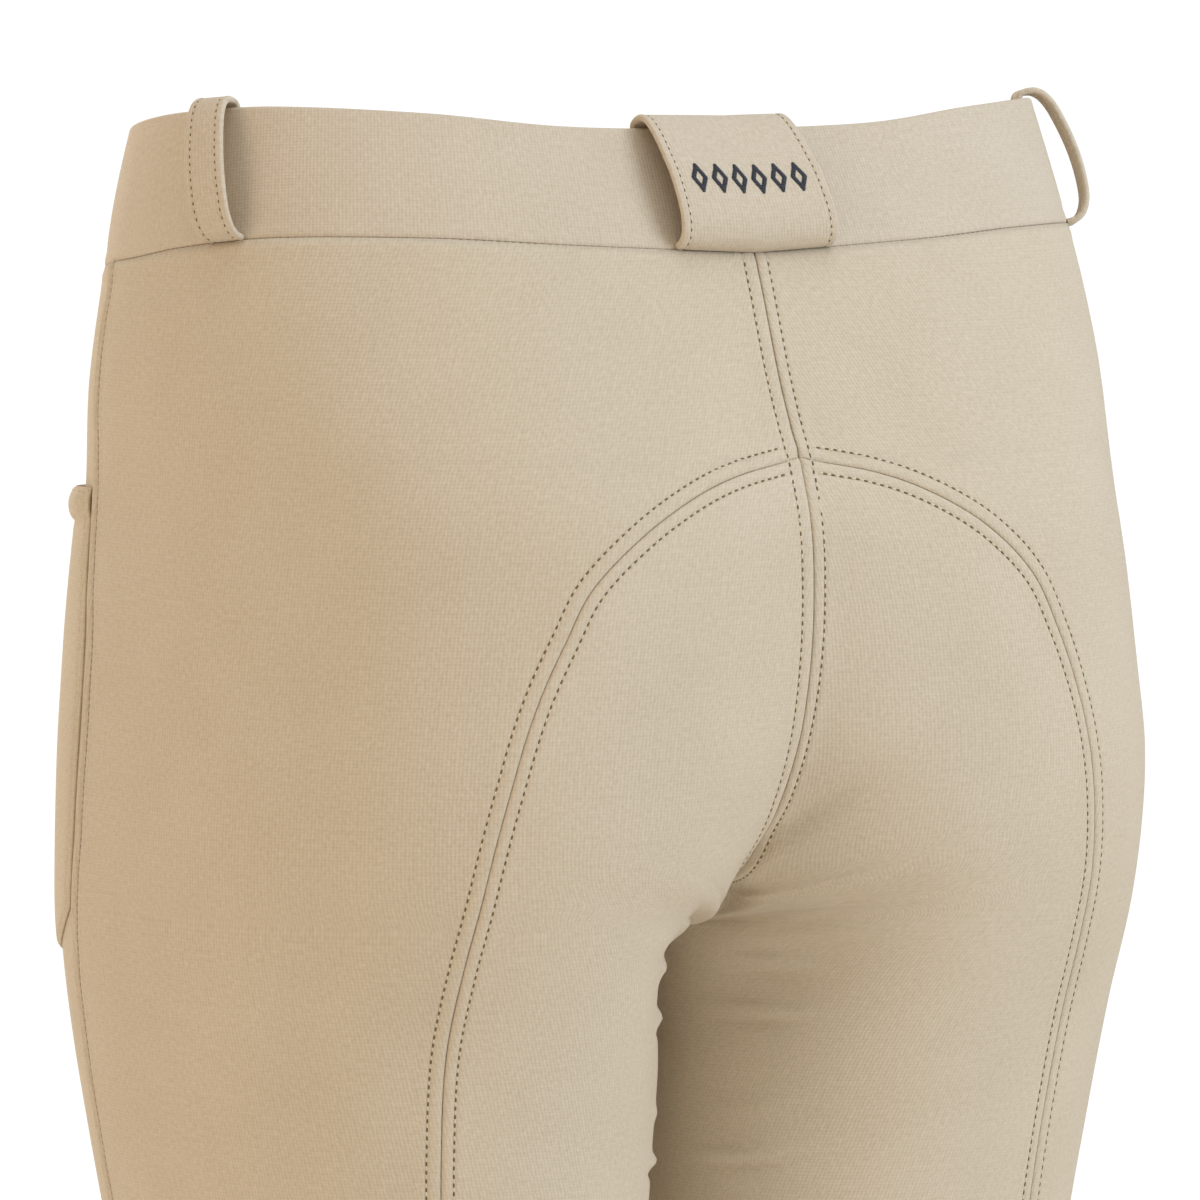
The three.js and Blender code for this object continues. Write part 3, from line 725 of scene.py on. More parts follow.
def stitchPlaces(points, normals, pitch, lean=0.0, start=0.5):
    # centre, direction along, across and up of each stitch on a line
    way = waysAlong(points)
    at = (np.arange(int(way[-1] // pitch)) + start) * pitch

    def on(values, where):
        return np.stack([np.interp(where, way, values[:, c]) for c in range(3)], axis=1)

    ahead = unit(on(points, at + 0.4 * pitch) - on(points, at - 0.4 * pitch))
    side = unit(np.cross(on(normals, at), ahead))
    up = np.cross(ahead, side)
    turned = ahead * math.cos(lean) + side * math.sin(lean)
    side = side * math.cos(lean) - ahead * math.sin(lean)
    return on(points, at), turned, side, up


def threadPiece(name, places, sizes, material, slot):
    # places: a list of what stitchPlaces gives; sizes: length, width and height of one stitch
    centre, ahead, side, up = [np.concatenate(parts) for parts in zip(*places)]
    half = np.array(sizes) / 2
    verts = centre[:, None, :]
    for column, direction, size in ((2, ahead, half[0]), (0, side, half[1]), (1, up, half[2])):
        verts = verts + stitchPoints[None, :, column:column + 1] * direction[:, None, :] * size
    count = len(stitchPoints)
    faces = [[k * count + i for i in face] for k in range(len(centre)) for face in stitchFaces]
    data = bpy.data.meshes.new(name)
    data.from_pydata((verts.reshape(-1, 3) * mm).tolist(), [], faces)
    dress(newPiece(name, data), material, slot)


def sewRows(name, lines, pitch, sizes, material, slot, lean=0.0, start=0.5):
    # rows of stitches, or of painted shade at the needle holes between them, along lines of points and
    # normals
    places = [stitchPlaces(points, normals, pitch, lean, start) for points, normals in lines]
    threadPiece(name, places, sizes, material, slot)


def mixedColour(tree, colour, shade, share):
    return addNode(tree, "ShaderNodeMix", {
        "data_type": "RGBA", "clamp_factor": True, 6: toLinear(colour), 7: toLinear(shade)},
        {0: share}).outputs[2]


def multiplyAdd(tree, source, by, plus=0.0):
    # plus is a number or the output of another node
    number = isinstance(plus, float)
    return addNode(tree, "ShaderNodeMath", {"operation": "MULTIPLY_ADD", 1: by, 2: plus if number else 0.0},
                   {0: source} if number else {0: source, 2: plus}).outputs[0]


def finishSurface(tree, tone, height, strength, depth, settings):
    ridges = addNode(tree, "ShaderNodeBump", {"Strength": strength, "Distance": depth}, {"Height": height})
    surface = addNode(tree, "ShaderNodeBsdfPrincipled", settings,
                      {"Base Color": tone, "Normal": ridges.outputs["Normal"]})
    addNode(tree, "ShaderNodeOutputMaterial", {}, {"Surface": surface.outputs["BSDF"]})


oneBand = 0.31416  # scale of the wave texture for one band in each unit of length


# Stretch twill: cotton and elastane, woven and lightly brushed. It is matt, with a fine dotted rib
# where the weft crosses, and a soft bloom where it turns away from the eye.
def stretchTwill(name, colour, shade, threadPitch):
    material, tree = newMaterial(name)
    place = addNode(tree, "ShaderNodeUVMap", {"uv_map": "cutPattern"}).outputs["UV"]
    ribScale = oneBand / (threadPitch * mm)

    def bands(direction, scale, distortion):
        return addNode(tree, "ShaderNodeTexWave", {
            "wave_type": "BANDS", "bands_direction": direction, "Scale": scale, "Distortion": distortion,
            "Detail": 1.5, "Detail Scale": 2.0}, {"Vector": place}).outputs["Fac"]

    weft = multiplyAdd(tree, bands("Y", ribScale * 1.25, 2.6), 0.35)
    weave = multiplyAdd(tree, bands("X", ribScale, 2.2), 0.65, weft)
    cloudy = addNode(tree, "ShaderNodeTexNoise", {"Scale": 26.0, "Detail": 4.0, "Roughness": 0.6},
                     {"Vector": place}).outputs["Fac"]
    yarns = addNode(tree, "ShaderNodeTexNoise", {"Scale": 700.0, "Detail": 2.0},
                    {"Vector": place}).outputs["Fac"]
    spread = multiplyAdd(tree, cloudy, 0.30, multiplyAdd(tree, weave, -0.30, -0.02))
    tone = mixedColour(tree, colour, shade, multiplyAdd(tree, yarns, 0.75, spread))
    finishSurface(tree, tone, multiplyAdd(tree, yarns, 0.8, weave), 0.7, 0.00009, {
        "Roughness": 0.86, "IOR": 1.46, "Specular IOR Level": 0.25,
        "Sheen Weight": 0.16, "Sheen Roughness": 0.5, "Sheen Tint": (1.0, 0.97, 0.9, 1.0)})
    return material


# Corespun polyester sewing thread, twisted: a little glossy, with its turns just visible.
def sewingThread(name, colour, shade):
    return mottledPolymer(name, colour, shade, (2400.0, 1.0), (0.4, 0.00006), 0.5, 1.5)


# Moulded nylon and polyester: satin, faintly mottled from the mould.
def mouldedPlastic(name, colour, shade, roughness):
    return mottledPolymer(name, colour, shade, (260.0, 3.0), (0.15, 0.0001), roughness, 1.53)


def mottledPolymer(name, colour, shade, noise, ridges, roughness, ior):
    # noise: scale and detail; ridges: strength and depth in metres
    material, tree = newMaterial(name)
    place = addNode(tree, "ShaderNodeTexCoord").outputs["Object"]
    mottle = addNode(tree, "ShaderNodeTexNoise", {"Scale": noise[0], "Detail": noise[1]},
                     {"Vector": place}).outputs["Fac"]
    finishSurface(tree, mixedColour(tree, colour, shade, mottle), mottle, *ridges,
                  {"Roughness": roughness, "IOR": ior})
    return material


# Woven polyester zip tape: a fine herringbone, slightly shiny.
def wovenTape(name, colour, shade):
    material, tree = newMaterial(name)
    place = addNode(tree, "ShaderNodeUVMap", {"uv_map": "cutPattern"}).outputs["UV"]
    rows = addNode(tree, "ShaderNodeTexWave", {
        "bands_direction": "DIAGONAL", "Scale": oneBand / (0.7 * mm), "Distortion": 0.4},
        {"Vector": place}).outputs["Fac"]
    finishSurface(tree, mixedColour(tree, colour, shade, rows), rows, 0.6, 0.0001,
                  {"Roughness": 0.7, "IOR": 1.5})
    return material


legTwill = stretchTwill("stretchTwillLegs", "#d5c6ad", "#b3a080", 1.2)
seatTwill = stretchTwill("stretchTwillSeat", "#d6c7af", "#b5a282", 1.2)
bandTwill = stretchTwill("stretchTwillBand", "#d5c6af", "#b4a183", 1.1)
seamThread = sewingThread("sewingThreadOlive", "#e2d5b6", "#c2b08a")
# dark brown that paints the shade in needle holes, in the ditch of seams and in the button's holes
paintedShadeDots = sewingThread("needleHoleShade", "#7a6340", "#5f4b2e")
embroideryThread = sewingThread("embroideryThreadDark", "#2b2e36", "#16181d")
zipTapeCloth = wovenTape("wovenZipTape", "#c9b999", "#ab9974")
zipNylon = mouldedPlastic("mouldedNylonTeeth", "#bfae8c", "#a08d69", 0.4)
buttonPlastic = mouldedPlastic("mouldedPolyesterButton", "#c0ab86", "#8f7853", 0.3)


# the leg panels
panels = {
    "edgeDistances": [0.03, 0.3, 0.65, 1.0, 1.5, 2.1, 2.8, 3.4, 3.8, 4.3, 4.8, 5.5, 7.0, 9.2, 12.0],
    "middleColumns": {"back": 34, "seat": 26, "front": 46},
    "rowsAbove": 22,
    "rowsSeat": 80,
    "rowsThigh": 96,
    "rowsLeg": 116,
    "cuts": {
        "back": {"first": "backEdge", "second": "side", "start": 0.0},
        "seat": {"first": "back", "second": "seat", "start": seamRows["crossing"] + 0.02},
        "front": {"first": "side", "second": "front", "start": 0.0},
    },
}


def rowNumbers(start):
    crossing, crotch, thigh, hem = seamRows.values()
    upper = np.linspace(start, crossing, panels["rowsAbove"], endpoint=False) if start < crossing else []
    middle = np.linspace(max(start, crossing + 0.01), crotch, panels["rowsSeat"], endpoint=False)
    upperLeg = np.linspace(crotch, thigh, panels["rowsThigh"], endpoint=False)
    return np.concatenate([upper, middle, upperLeg, np.linspace(thigh, hem, panels["rowsLeg"] + 1)])


def seamDirection(name, r):
    a = np.array(seamLine(name, np.maximum(r - 0.05, r.min())))
    b = np.array(seamLine(name, np.minimum(r + 0.05, seamRows["hem"])))
    return (b - a) / np.maximum(np.linalg.norm(b - a, axis=0), 1e-9)


def smoothed(values, reach):
    weights = bump(np.arange(-3 * reach, 3 * reach + 1), 0, reach)
    padded = np.pad(values, 3 * reach, mode="edge")
    return np.convolve(padded, weights / weights.sum(), mode="valid")


def panelPlaces(panel):
    # girth and height of a panel's grid, with its columns gathered beside both seams
    rule = panels["cuts"][panel]
    r = rowNumbers(rule["start"])
    first = np.array(seamLine(rule["first"], r))
    second = np.array(seamLine(rule["second"], r))
    span = second - first
    widths = []
    for name in (rule["first"], rule["second"]):
        one = seamDirection(name, r)
        width = np.abs(one[0] * span[1] - one[1] * span[0])
        widths.append(np.maximum(smoothed(width, 6), 28.0))
    near = np.array(panels["edgeDistances"])
    middle = panels["middleColumns"][panel]
    t = []
    for k in range(len(r)):
        left = near / widths[0][k]
        right = 1 - near[::-1] / widths[1][k]
        t.append(np.concatenate([left, np.linspace(left[-1], right[0], middle + 2)[1:-1], right]))
    t = np.array(t)
    girth = first[0][:, None] + span[0][:, None] * t
    z = first[1][:, None] + span[1][:, None] * t
    if panel != "seat":
        topGirth = first[0][0] + span[0][0] * t
        topZ = first[1][0] + span[1][0] * t
        fade = np.clip(1 - r / seamRows["hem"], 0, 1) ** 4
        z = z + (waistZ(topGirth) - cut["seamGap"] / 4 - topZ) * fade[:, None]
    return girth, z


def uprightNear(normal, d, reach):
    # close to the middle seam the cloth lifts straight away from the body, not across the middle
    normal = normal.copy()
    normal[..., 0] *= smoothStep(np.clip(d / reach, 0, 1))
    return unit(normal)


def bridgedCleft(d, way):
    # stretched cloth bridges the hollow between the two halves of the seat
    slope = np.interp(way, cleftWays, cleftSlopes)
    return slope * (np.sqrt(d * d + cleft["bridge"] ** 2) - d)


def panelRelief(panel, side, base, normal, girth, z):
    # lift and direction of every place of a panel, and how far it is from the nearest seam
    seed = 60 if side == "Right" else 20
    lift = clothWave(girth, z) + foldLift(girth, z, side)
    distances = []

    def near(trace):
        d, way = nearestOn(base, traces[trace])
        distances.append(d)
        return d, way

    if panel in ("back", "seat"):
        d, way = near("centreBack")
        normal = uprightNear(normal, d, relief["nearMiddle"])
        row = relief["innerRow"] if side == "Right" else relief["outerRow"]
        lift = lift + topstitchedSeam(d, way, row, seed) + bridgedCleft(d, way)
        row = relief["outerRow"] if panel == "back" else relief["innerRow"]
        lift = lift + topstitchedSeam(*near("seat"), row, seed + 3)
    if panel in ("back", "front"):
        welt = relief["sideWelt" if panel == "front" else "backSideWelt"]
        lift = lift + plainSeam(*near("side"), welt, seed + 7)
        under = np.maximum(waistZ(girth) - z, 0)
        lift = lift + edgeRoll(under) + 0.22 * bump(under, 2.2, 1.6) * (under < 12)
    if panel == "front":
        d, way = near("centreFront")
        normal = uprightNear(normal, d, relief["nearMiddle"])
        lift = lift + plainSeam(d, way, relief["frontWelt"], seed + 9)
    if panel in ("seat", "front"):
        lift = lift + insideLegSeam(*near("insideLeg"), seed + 11)
    hemUp = z - cut["hemZ"]
    lift = lift + relief["hemLift"] * np.clip((relief["hemHeight"] - hemUp) / 1.5, 0, 1)
    lift = lift - 0.25 * bump(hemUp, relief["hemRow"], 0.9)
    return lift, normal, np.minimum.reduce(distances)


def panelPoints(panel, girth, z, side):
    base, normal = clothPlace(girth, z)
    lift, normal, nearest = panelRelief(panel, side, base, normal, girth, z)
    return keepToHalf(easeCrotch(base, z, nearest) + normal * lift[..., None])


def makePanel(panel, side, material, slot):
    mirrored = side == "Right"
    girth, z = panelPlaces(panel)
    points = panelPoints(panel, girth, z, side)
    mesh = gridMesh(points, cutPattern(girth, z), mirrored)
    piece = finishMesh(("fullSeat" if panel == "seat" else panel + "Leg") + side, mesh)
    giveWall(piece, cut["cloth"])
    dress(piece, material, slot, f"{panel}_{side.lower()}")
    return piece


def clothSurface(piece):
    # the outer face of a piece, for what is sewn on it
    places = [vertex.co / mm for vertex in piece.data.vertices]
    return BVHTree.FromPolygons(places, [list(face.vertices) for face in piece.data.polygons])


cast = {"from": 4.0, "depth": 9.0}


def laidOn(surface, points, normals):
    # points moved along their normals onto a surface
    laid = []
    for point, normal in zip(points, normals):
        outwards = Vector(normal)
        hit = surface.ray_cast(Vector(point) + outwards * cast["from"], -outwards, cast["depth"])[0]
        laid.append(point if hit is None else hit)
    return np.array(laid, float)


legPieces = {}
for side in ("Left", "Right"):
    legPieces["back" + side] = makePanel("back", side, legTwill, "cloth")
    legPieces["seat" + side] = makePanel("seat", side, seatTwill, "seat_cloth")
    legPieces["front" + side] = makePanel("front", side, legTwill, "cloth")
print("stage: leg panels", {name: len(piece.data.polygons) for name, piece in legPieces.items()})


# lockstitch in olive-beige thread, two rows along the centre back seam and each seat seam
topstitching = {
    "pitch": 2.6,
    "stitch": (1.6, 0.70, 0.56),
    # dark drops of painted shade at the needle holes between the stitches
    "holeShadeSize": (1.6, 0.70, 0.48),
    "lean": 0.15,
    "proud": 0.02,
    "clearOfCentre": 0.6,  # the rows of the seat seam end this far from those of the centre back
    "seamPitch": 2.2,
    # dark dots of painted shade for the stitches in the ditch of a plain seam
    "seamHoleShadeSize": (1.5, 0.42, 0.5),
    "sideDitch": 0.35,
    "plainStitch": (2.1, 0.44, 0.34),  # on the pocket and the fly
    "plainLean": 0.1,
}


def besideSeam(name, rFrom, rTo, count, distance, towardsFront):
    # a line on the smooth cloth at a distance from a seam
    girth, z = seamLine(name, np.linspace(rFrom, rTo, count))
    points, normals = clothPlace(girth, z)
    across = np.cross(unit(np.gradient(points, axis=0)), normals) * (distance if towardsFront else -distance)
    byGirth = clothPlace(girth + 0.5, z)[0] - clothPlace(girth - 0.5, z)[0]
    byHeight = clothPlace(girth, z + 0.5)[0] - clothPlace(girth, z - 0.5)[0]
    gg = (byGirth * byGirth).sum(axis=1)
    gh = (byGirth * byHeight).sum(axis=1)
    hh = (byHeight * byHeight).sum(axis=1)
    ga = (byGirth * across).sum(axis=1)
    ha = (byHeight * across).sum(axis=1)
    whole = np.maximum(gg * hh - gh * gh, 1e-9)
    return girth + (ga * hh - ha * gh) / whole, z + (ha * gg - ga * gh) / whole


def stitchLine(panel, girth, z, keep, side):
    # a row of stitches lies in the relief of its own panel
    girth, z = girth[keep], z[keep]
    points, normals = clothPlace(girth, z)
    lift, normals, _ = panelRelief(panel, side, points, normals, girth, z)
    points = points + normals * lift[:, None]
    if side == "Right":
        points, normals = points * otherSide, normals * otherSide
    points = laidOn(clothSurfaces[panel + side], points, normals)
    return points + normals * topstitching["proud"], normals


def seamRowsOfStitches():
    lines = []
    crossing, crotch, _, hem = seamRows.values()
    for side in ("Left", "Right"):
        row = relief["innerRow"] if side == "Right" else relief["outerRow"]
        for panel, first, last in (("back", 0, crossing), ("seat", crossing, crotch - 0.3)):
            girth, z = besideSeam("back", first, last, 400, row, True)
            lines.append(stitchLine(panel, girth, z, z < waistZ(girth) - 1.2, side))
        clear = row + topstitching["clearOfCentre"]
        for panel, row in (("back", relief["outerRow"]), ("seat", relief["innerRow"])):
            girth, z = besideSeam("seat", crossing, hem, 1500, row, panel == "back")
            x = clothPlace(girth, z)[0][:, 0]
            lines.append(stitchLine(panel, girth, z, x > clear, side))
    return lines


def sideSeamOfStitches():
    # the seam's own stitches, drawn as a dotted line of painted shade in its ditch
    girth, z = besideSeam("side", 0, seamRows["hem"], 1500, topstitching["sideDitch"], False)
    return [stitchLine("back", girth, z, z < waistZ(girth) - 0.6, side) for side in ("Left", "Right")]


clothSurfaces = {name: clothSurface(piece) for name, piece in legPieces.items()}
stitchLines = seamRowsOfStitches()
sewRows("legTopstitching", stitchLines, topstitching["pitch"], topstitching["stitch"],
        seamThread, "cloth", topstitching["lean"])
# dark drops between the stitches: painted shade of the needle holes
sewRows("legPaintedHoleShade", stitchLines, topstitching["pitch"], topstitching["holeShadeSize"],
        paintedShadeDots, "cloth", start=1.0)
sewRows("sideSeamPaintedStitchShade", sideSeamOfStitches(), topstitching["seamPitch"], topstitching["seamHoleShadeSize"],
        paintedShadeDots, "cloth")
print("stage: topstitching of the legs")


# the waistband: doubled cloth, folded over at its top, lapped right over left at the front
waistband = {
    "lap": 34.0,
    "lapLift": 2.5,
    "lapRise": 12.0,
    "columns": 430,
    "fullness": 0.35,
    "foot": 0.08,
    "rolled": 4.5,  # the rolled lower edge ends this far up
    # dark dots of painted shade along the seam under the band
    "seamHoleShadeSize": (1.7, 0.42, 0.6),
}

halfWaist = float(frontSeamGirth(np.array([0.0]))[0] - backSeamGirth(np.array([0.0]))[0])


def bandHeight(share):
    return along(waistEdges, share, "top") - along(waistEdges, share, "seam")


def bandHeightAt(way):
    return float(bandHeight(np.array([abs(way)]))[0])


def bandPlace(way, up, out):
    # way is 0 at the back seam, 1 and -1 at the front, and past -1 on the lapped end
    way, up, out = np.broadcast_arrays(way, up, out)
    past = np.maximum(-1 - way, 0)
    share = np.where(past > 0, 1 - past, np.abs(way))
    z = along(waistEdges, share, "seam") + up
    t = np.clip(((-0.97 - way) * halfWaist) / waistband["lapRise"], 0, 1)
    lapped = smoothStep(t) * waistband["lapLift"]
    back = backSeamGirth(z)
    girth = back + (frontSeamGirth(z) - back) * share
    points, normals = clothPlace(girth, z)
    normals = uprightNear(normals, np.abs(way) * halfWaist, 12.0)
    points = points + normals * (out + lapped)[..., None]
    flip = np.where((way < 0) & (past == 0), -1.0, 1.0)
    points[..., 0] *= flip
    normals[..., 0] *= flip
    return points, normals


def bandSection(height):
    # out and up of the band's section, for each height of band: outer face, fold, inner face, foot
    half = cut["bandCloth"] / 2
    low, rolled = waistband["foot"], waistband["rolled"]
    level = 0 * height
    rows = [(up + level, level - 0.55 * max(1 - up / 1.1, 0) ** 2 + 0.18 * bump(up, 2.2, 1.3))
            for up in (low, 0.35, 0.8, 1.3, 2.0, 3.0, rolled)]
    top = height - half
    for share in np.linspace(0, 1, 15)[1:]:
        up = between(rolled, top, share)
        swell = np.sin(math.pi * up / height) * waistband["fullness"]
        rows.append((up, swell * np.clip((top - up) / 4.0, 0, 1)))
    for angle in np.linspace(0, math.pi, 9)[1:]:
        rows.append((top + half * math.sin(angle), half * (math.cos(angle) - 1) + level))
    for share in np.linspace(1, 0, 9)[1:]:
        rows.append((between(low, top, share), -cut["bandCloth"] + level))
    rows.append(rows[0])
    return np.array([up for up, out in rows]), np.array([out for up, out in rows])


def makeWaistband():
    way = np.linspace(-1 - waistband["lap"] / halfWaist, 1 - 0.2 / halfWaist, waistband["columns"])
    share = np.where(way < -1, 2 + way, np.abs(way))
    up, out = bandSection(bandHeight(share))
    wave = 0.22 * softNoise(way * halfWaist, 30.0, 81) + 0.12 * softNoise(way * halfWaist, 11.0, 82)
    waveShare = np.sin(math.pi * np.clip(up / bandHeight(share), 0, 1))
    points, _ = bandPlace(way[None, :], up, out + wave * waveShare)
    steps = np.hypot(np.diff(up, axis=0), np.diff(out, axis=0))
    lengths = np.cumsum(np.concatenate([np.zeros((1, up.shape[1])), steps]), axis=0)
    piece = closedStrip("waistbandCloth", points, cutPattern(way * halfWaist, lengths))
    dress(piece, bandTwill, "band_cloth", "waistband")
    return piece


def waistSeamOfStitches():
    way = np.linspace(-1, 1, 1600)
    return bandPlace(way, -0.05, -0.35)


bandPiece = makeWaistband()
# the waist seam drawn as a dotted line of painted shade
sewRows("waistSeamPaintedStitchShade", [waistSeamOfStitches()], topstitching["seamPitch"], waistband["seamHoleShadeSize"],
        paintedShadeDots, "band_cloth")
print("stage: waistband", len(bandPiece.data.polygons))


# belt loops: strips of doubled cloth, sewn inside the band, over its top and down to the seam
beltLoops = {
    "strip": 1.8,
    "wide": 20.0,  # a loop above this width has its stitches further in and more columns
    "stitchInset": 2.3,
    "wideStitchInset": 2.6,
    "columns": 22,
    "wideColumns": 60,
    "pitch": 2.4,
    "lean": 0.12,
    "stitch": (1.65, 0.56, 0.46),
    # dark drops of painted shade at the needle holes
    "holeShadeSize": (1.1, 0.55, 0.36),
    "stitchLift": 0.72,
    "line": [
        # out from the band, up from its foot or from its top, from its top?
        (-3.55, -9, True), (-3.55, -0.8, True), (-3.1, 1.15, True), (-1.9, 1.95, True), (0.4, 2.1, True),
        (2.6, 1.5, True), (4.8, -0.4, True), (6.6, -4, True), (7.9, -9, True), (8.9, -15, True),
        (9.3, 18, False), (9.1, 12, False), (8.2, 6.5, False), (6.0, 2.6, False), (3.2, 1.0, False),
        (0.35, 0.8, False),
    ],
    "loops": [
        # name, node, way of its foot and its top, width, how far it stands off
        ("wideBackLoop", "loop_back_wide", 0.0, 0.01, 53.0, 1.0),
        ("sideLoopLeft", "loop_side_left", 0.406, 0.42, 12.8, 0.97),
        ("sideLoopRight", "loop_side_right", -0.41, -0.425, 12.8, 0.97),
        ("frontLoopLeft", "loop_front_left", 0.83, 0.83, 12.8, 0.9),
        ("frontLoopRight", "loop_front_right", -0.83, -0.83, 12.8, 0.9),
    ],
}


def loopPath(height, stand):
    # the middle line of the strip as a smooth curve, with its direction
    rows = [(2 + (out - 2) * stand if out > 2 else out, up + height if over else up)
            for out, up, over in beltLoops["line"]]
    data = np.array(rows, float)
    slopes = np.gradient(data, axis=0)
    at = np.linspace(0, len(data) - 1, 6 * (len(data) - 1) + 1)
    i = np.minimum(at.astype(int), len(data) - 2)
    path = curveThrough(data, slopes, 1, i, (at - i)[:, None])
    return path, unit(np.gradient(path, axis=0))


def stripSection(width, inset, count):
    # across the strip and up from its middle, round the whole section
    half = width / 2
    round = beltLoops["strip"] / 2
    rounded = round * (1 - np.cos(np.linspace(0, math.pi / 2, 5)))
    across = np.concatenate([-half + rounded, np.linspace(-half + round, half - round, count)[1:-1],
                             half - rounded[::-1]])
    fromEdge = half - np.abs(across)
    lift = round * np.sqrt(np.clip(1 - (np.clip(round - fromEdge, 0, round) / round) ** 2, 0, 1))
    relieved = lift + 0.14 * bump(fromEdge, 1.3, 0.6) - 0.22 * bump(fromEdge, inset, 0.45)
    return (np.concatenate([across, across[::-1][1:]]), np.concatenate([relieved, -lift[::-1][1:]]))


def stripPlace(foot, top, height, across, path, ahead, lift):
    out = path[:, 0:1] + lift * ahead[:, 1:2]
    up = path[:, 1:2] - lift * ahead[:, 0:1]
    out, up = np.broadcast_arrays(out, up)
    way = foot + (top - foot) * (up / height) + across / halfWaist
    return bandPlace(way, up * bandHeight(np.abs(way)) / height, out)[0]


def makeLoop(name, node, foot, top, width, stand):
    height = bandHeightAt((foot + top) / 2)
    wide = width > beltLoops["wide"]
    inset = beltLoops["wideStitchInset" if wide else "stitchInset"]
    path, ahead = loopPath(height, stand)
    across, lift = stripSection(width, inset, beltLoops["wideColumns" if wide else "columns"])
    # the direction turns with the strip: its outer side is on the left of the way it runs
    points = stripPlace(foot, top, height, across[None, :], path, ahead, -lift[None, :])
    ways = waysAlong(path)
    piece = closedStrip(name, points, cutPattern(across[None, :], ways[:, None]))
    dress(piece, bandTwill, "band_cloth", node)
    lines = []
    sewn = slice(9, len(path) - 5)
    for edge in (inset - width / 2, width / 2 - inset):
        low, high = [stripPlace(foot, top, height, np.array([[edge]]), path, ahead, -lift)[:, 0]
                     for lift in (beltLoops["stitchLift"], beltLoops["stitchLift"] + 1)]
        lines.append((low[sewn], (high - low)[sewn]))
    return lines


loopLines = []
for loop in beltLoops["loops"]:
    loopLines.extend(makeLoop(*loop))
sewRows("loopTopstitching", loopLines, beltLoops["pitch"], beltLoops["stitch"],
        seamThread, "band_cloth", beltLoops["lean"])
# dark drops between the stitches: painted shade of the needle holes
sewRows("loopPaintedHoleShade", loopLines, beltLoops["pitch"], beltLoops["holeShadeSize"],
        paintedShadeDots, "band_cloth", start=1.0)
print("stage: belt loops")


# a plain row of lozenges on the wide loop, in dark satin stitch
lozenges = {
    "count": 6,
    "spacing": 7.0,
    "height": 8.8,
    "width": 5.6,
    "open": 0.45,  # share of the middle that is left open, so the shape reads as an outline
    "centreUp": 16.5,
    "pitch": 0.40,
    "lift": 0.98,
    "narrowest": 0.25,
    "overrun": 0.2,
    "stitch": (2.0, 0.62, 0.5),
}


def lozengeStitches():
    # from and to across the loop, and down from the middle, of each stitch of one lozenge
    rows = int(lozenges["height"] / lozenges["pitch"])
    stitches = []
    for row in range(rows):
        down = (row + 0.5) / rows * 2 - 1
        half = lozenges["width"] / 2 * (1 - abs(down))
        hollow = lozenges["width"] / 2 * (lozenges["open"] - abs(down))
        if half < lozenges["narrowest"]:
            continue
        runs = [(-half, -hollow), (hollow, half)] if hollow > 0 else [(-half, half)]
        stitches.extend((low, high, down * lozenges["height"] / 2) for low, high in runs)
    return stitches


def makeLozenges():
    _, _, foot, top, _, stand = beltLoops["loops"][0]
    height = bandHeightAt((foot + top) / 2)
    path, ahead = loopPath(height, stand)
    ways = waysAlong(path)
    outside = np.arange(len(path)) > 40
    centreWay = float(np.interp(-lozenges["centreUp"], -path[outside, 1], ways[outside]))

    def spot(across, way, lift):
        here, turn = [np.array([[np.interp(way, ways, values[:, c]) for c in range(2)]])
                      for values in (path, ahead)]
        return stripPlace(foot, top, height, np.array([[across]]), here, turn, -lift)[0, 0]

    places = []
    lift = lozenges["lift"]
    for k in range(lozenges["count"]):
        middle = (k - (lozenges["count"] - 1) / 2) * lozenges["spacing"]
        for low, high, down in lozengeStitches():
            way = centreWay + down
            a = spot(middle + low, way, lift)
            b = spot(middle + high, way, lift)
            centre = middle + (low + high) / 2
            up = spot(centre, way, lift + 1) - spot(centre, way, lift)
            ahead1 = unit(b - a)
            side = unit(np.cross(up, ahead1))
            reach = np.linalg.norm(b - a) / 2 + lozenges["overrun"]
            places.append(((a + b)[None] / 2, ahead1[None] * reach, side[None], np.cross(ahead1, side)[None]))
    return places


threadPiece("lozengeEmbroidery", makeLozenges(), lozenges["stitch"], embroideryThread, "band_cloth")
print("stage: embroidery")


# the phone pocket: a patch on the left thigh, with a doubled hem at its opening
phonePocket = {
    "top": -73.0,
    "bottom": -213.0,
    "width": 92.0,
    "fromSeam": 5.5,
    "corner": 16.0,
    "fullness": 1.8,
    "hem": 10.0,
    "hemBulge": 2.2,
    "stitchInset": 2.2,
    "edgeDrop": 1.1,
    "wall": 1.15,
}


def pocketPlace(a, t):
    edge = np.abs(a - 0.5) * 2
    bottom = phonePocket["bottom"] + phonePocket["corner"] * edge ** 3
    top = phonePocket["top"] - 4 * a
    z = top + (bottom - top) * t
    return sideGirth(z) + phonePocket["fromSeam"] + a * phonePocket["width"], z


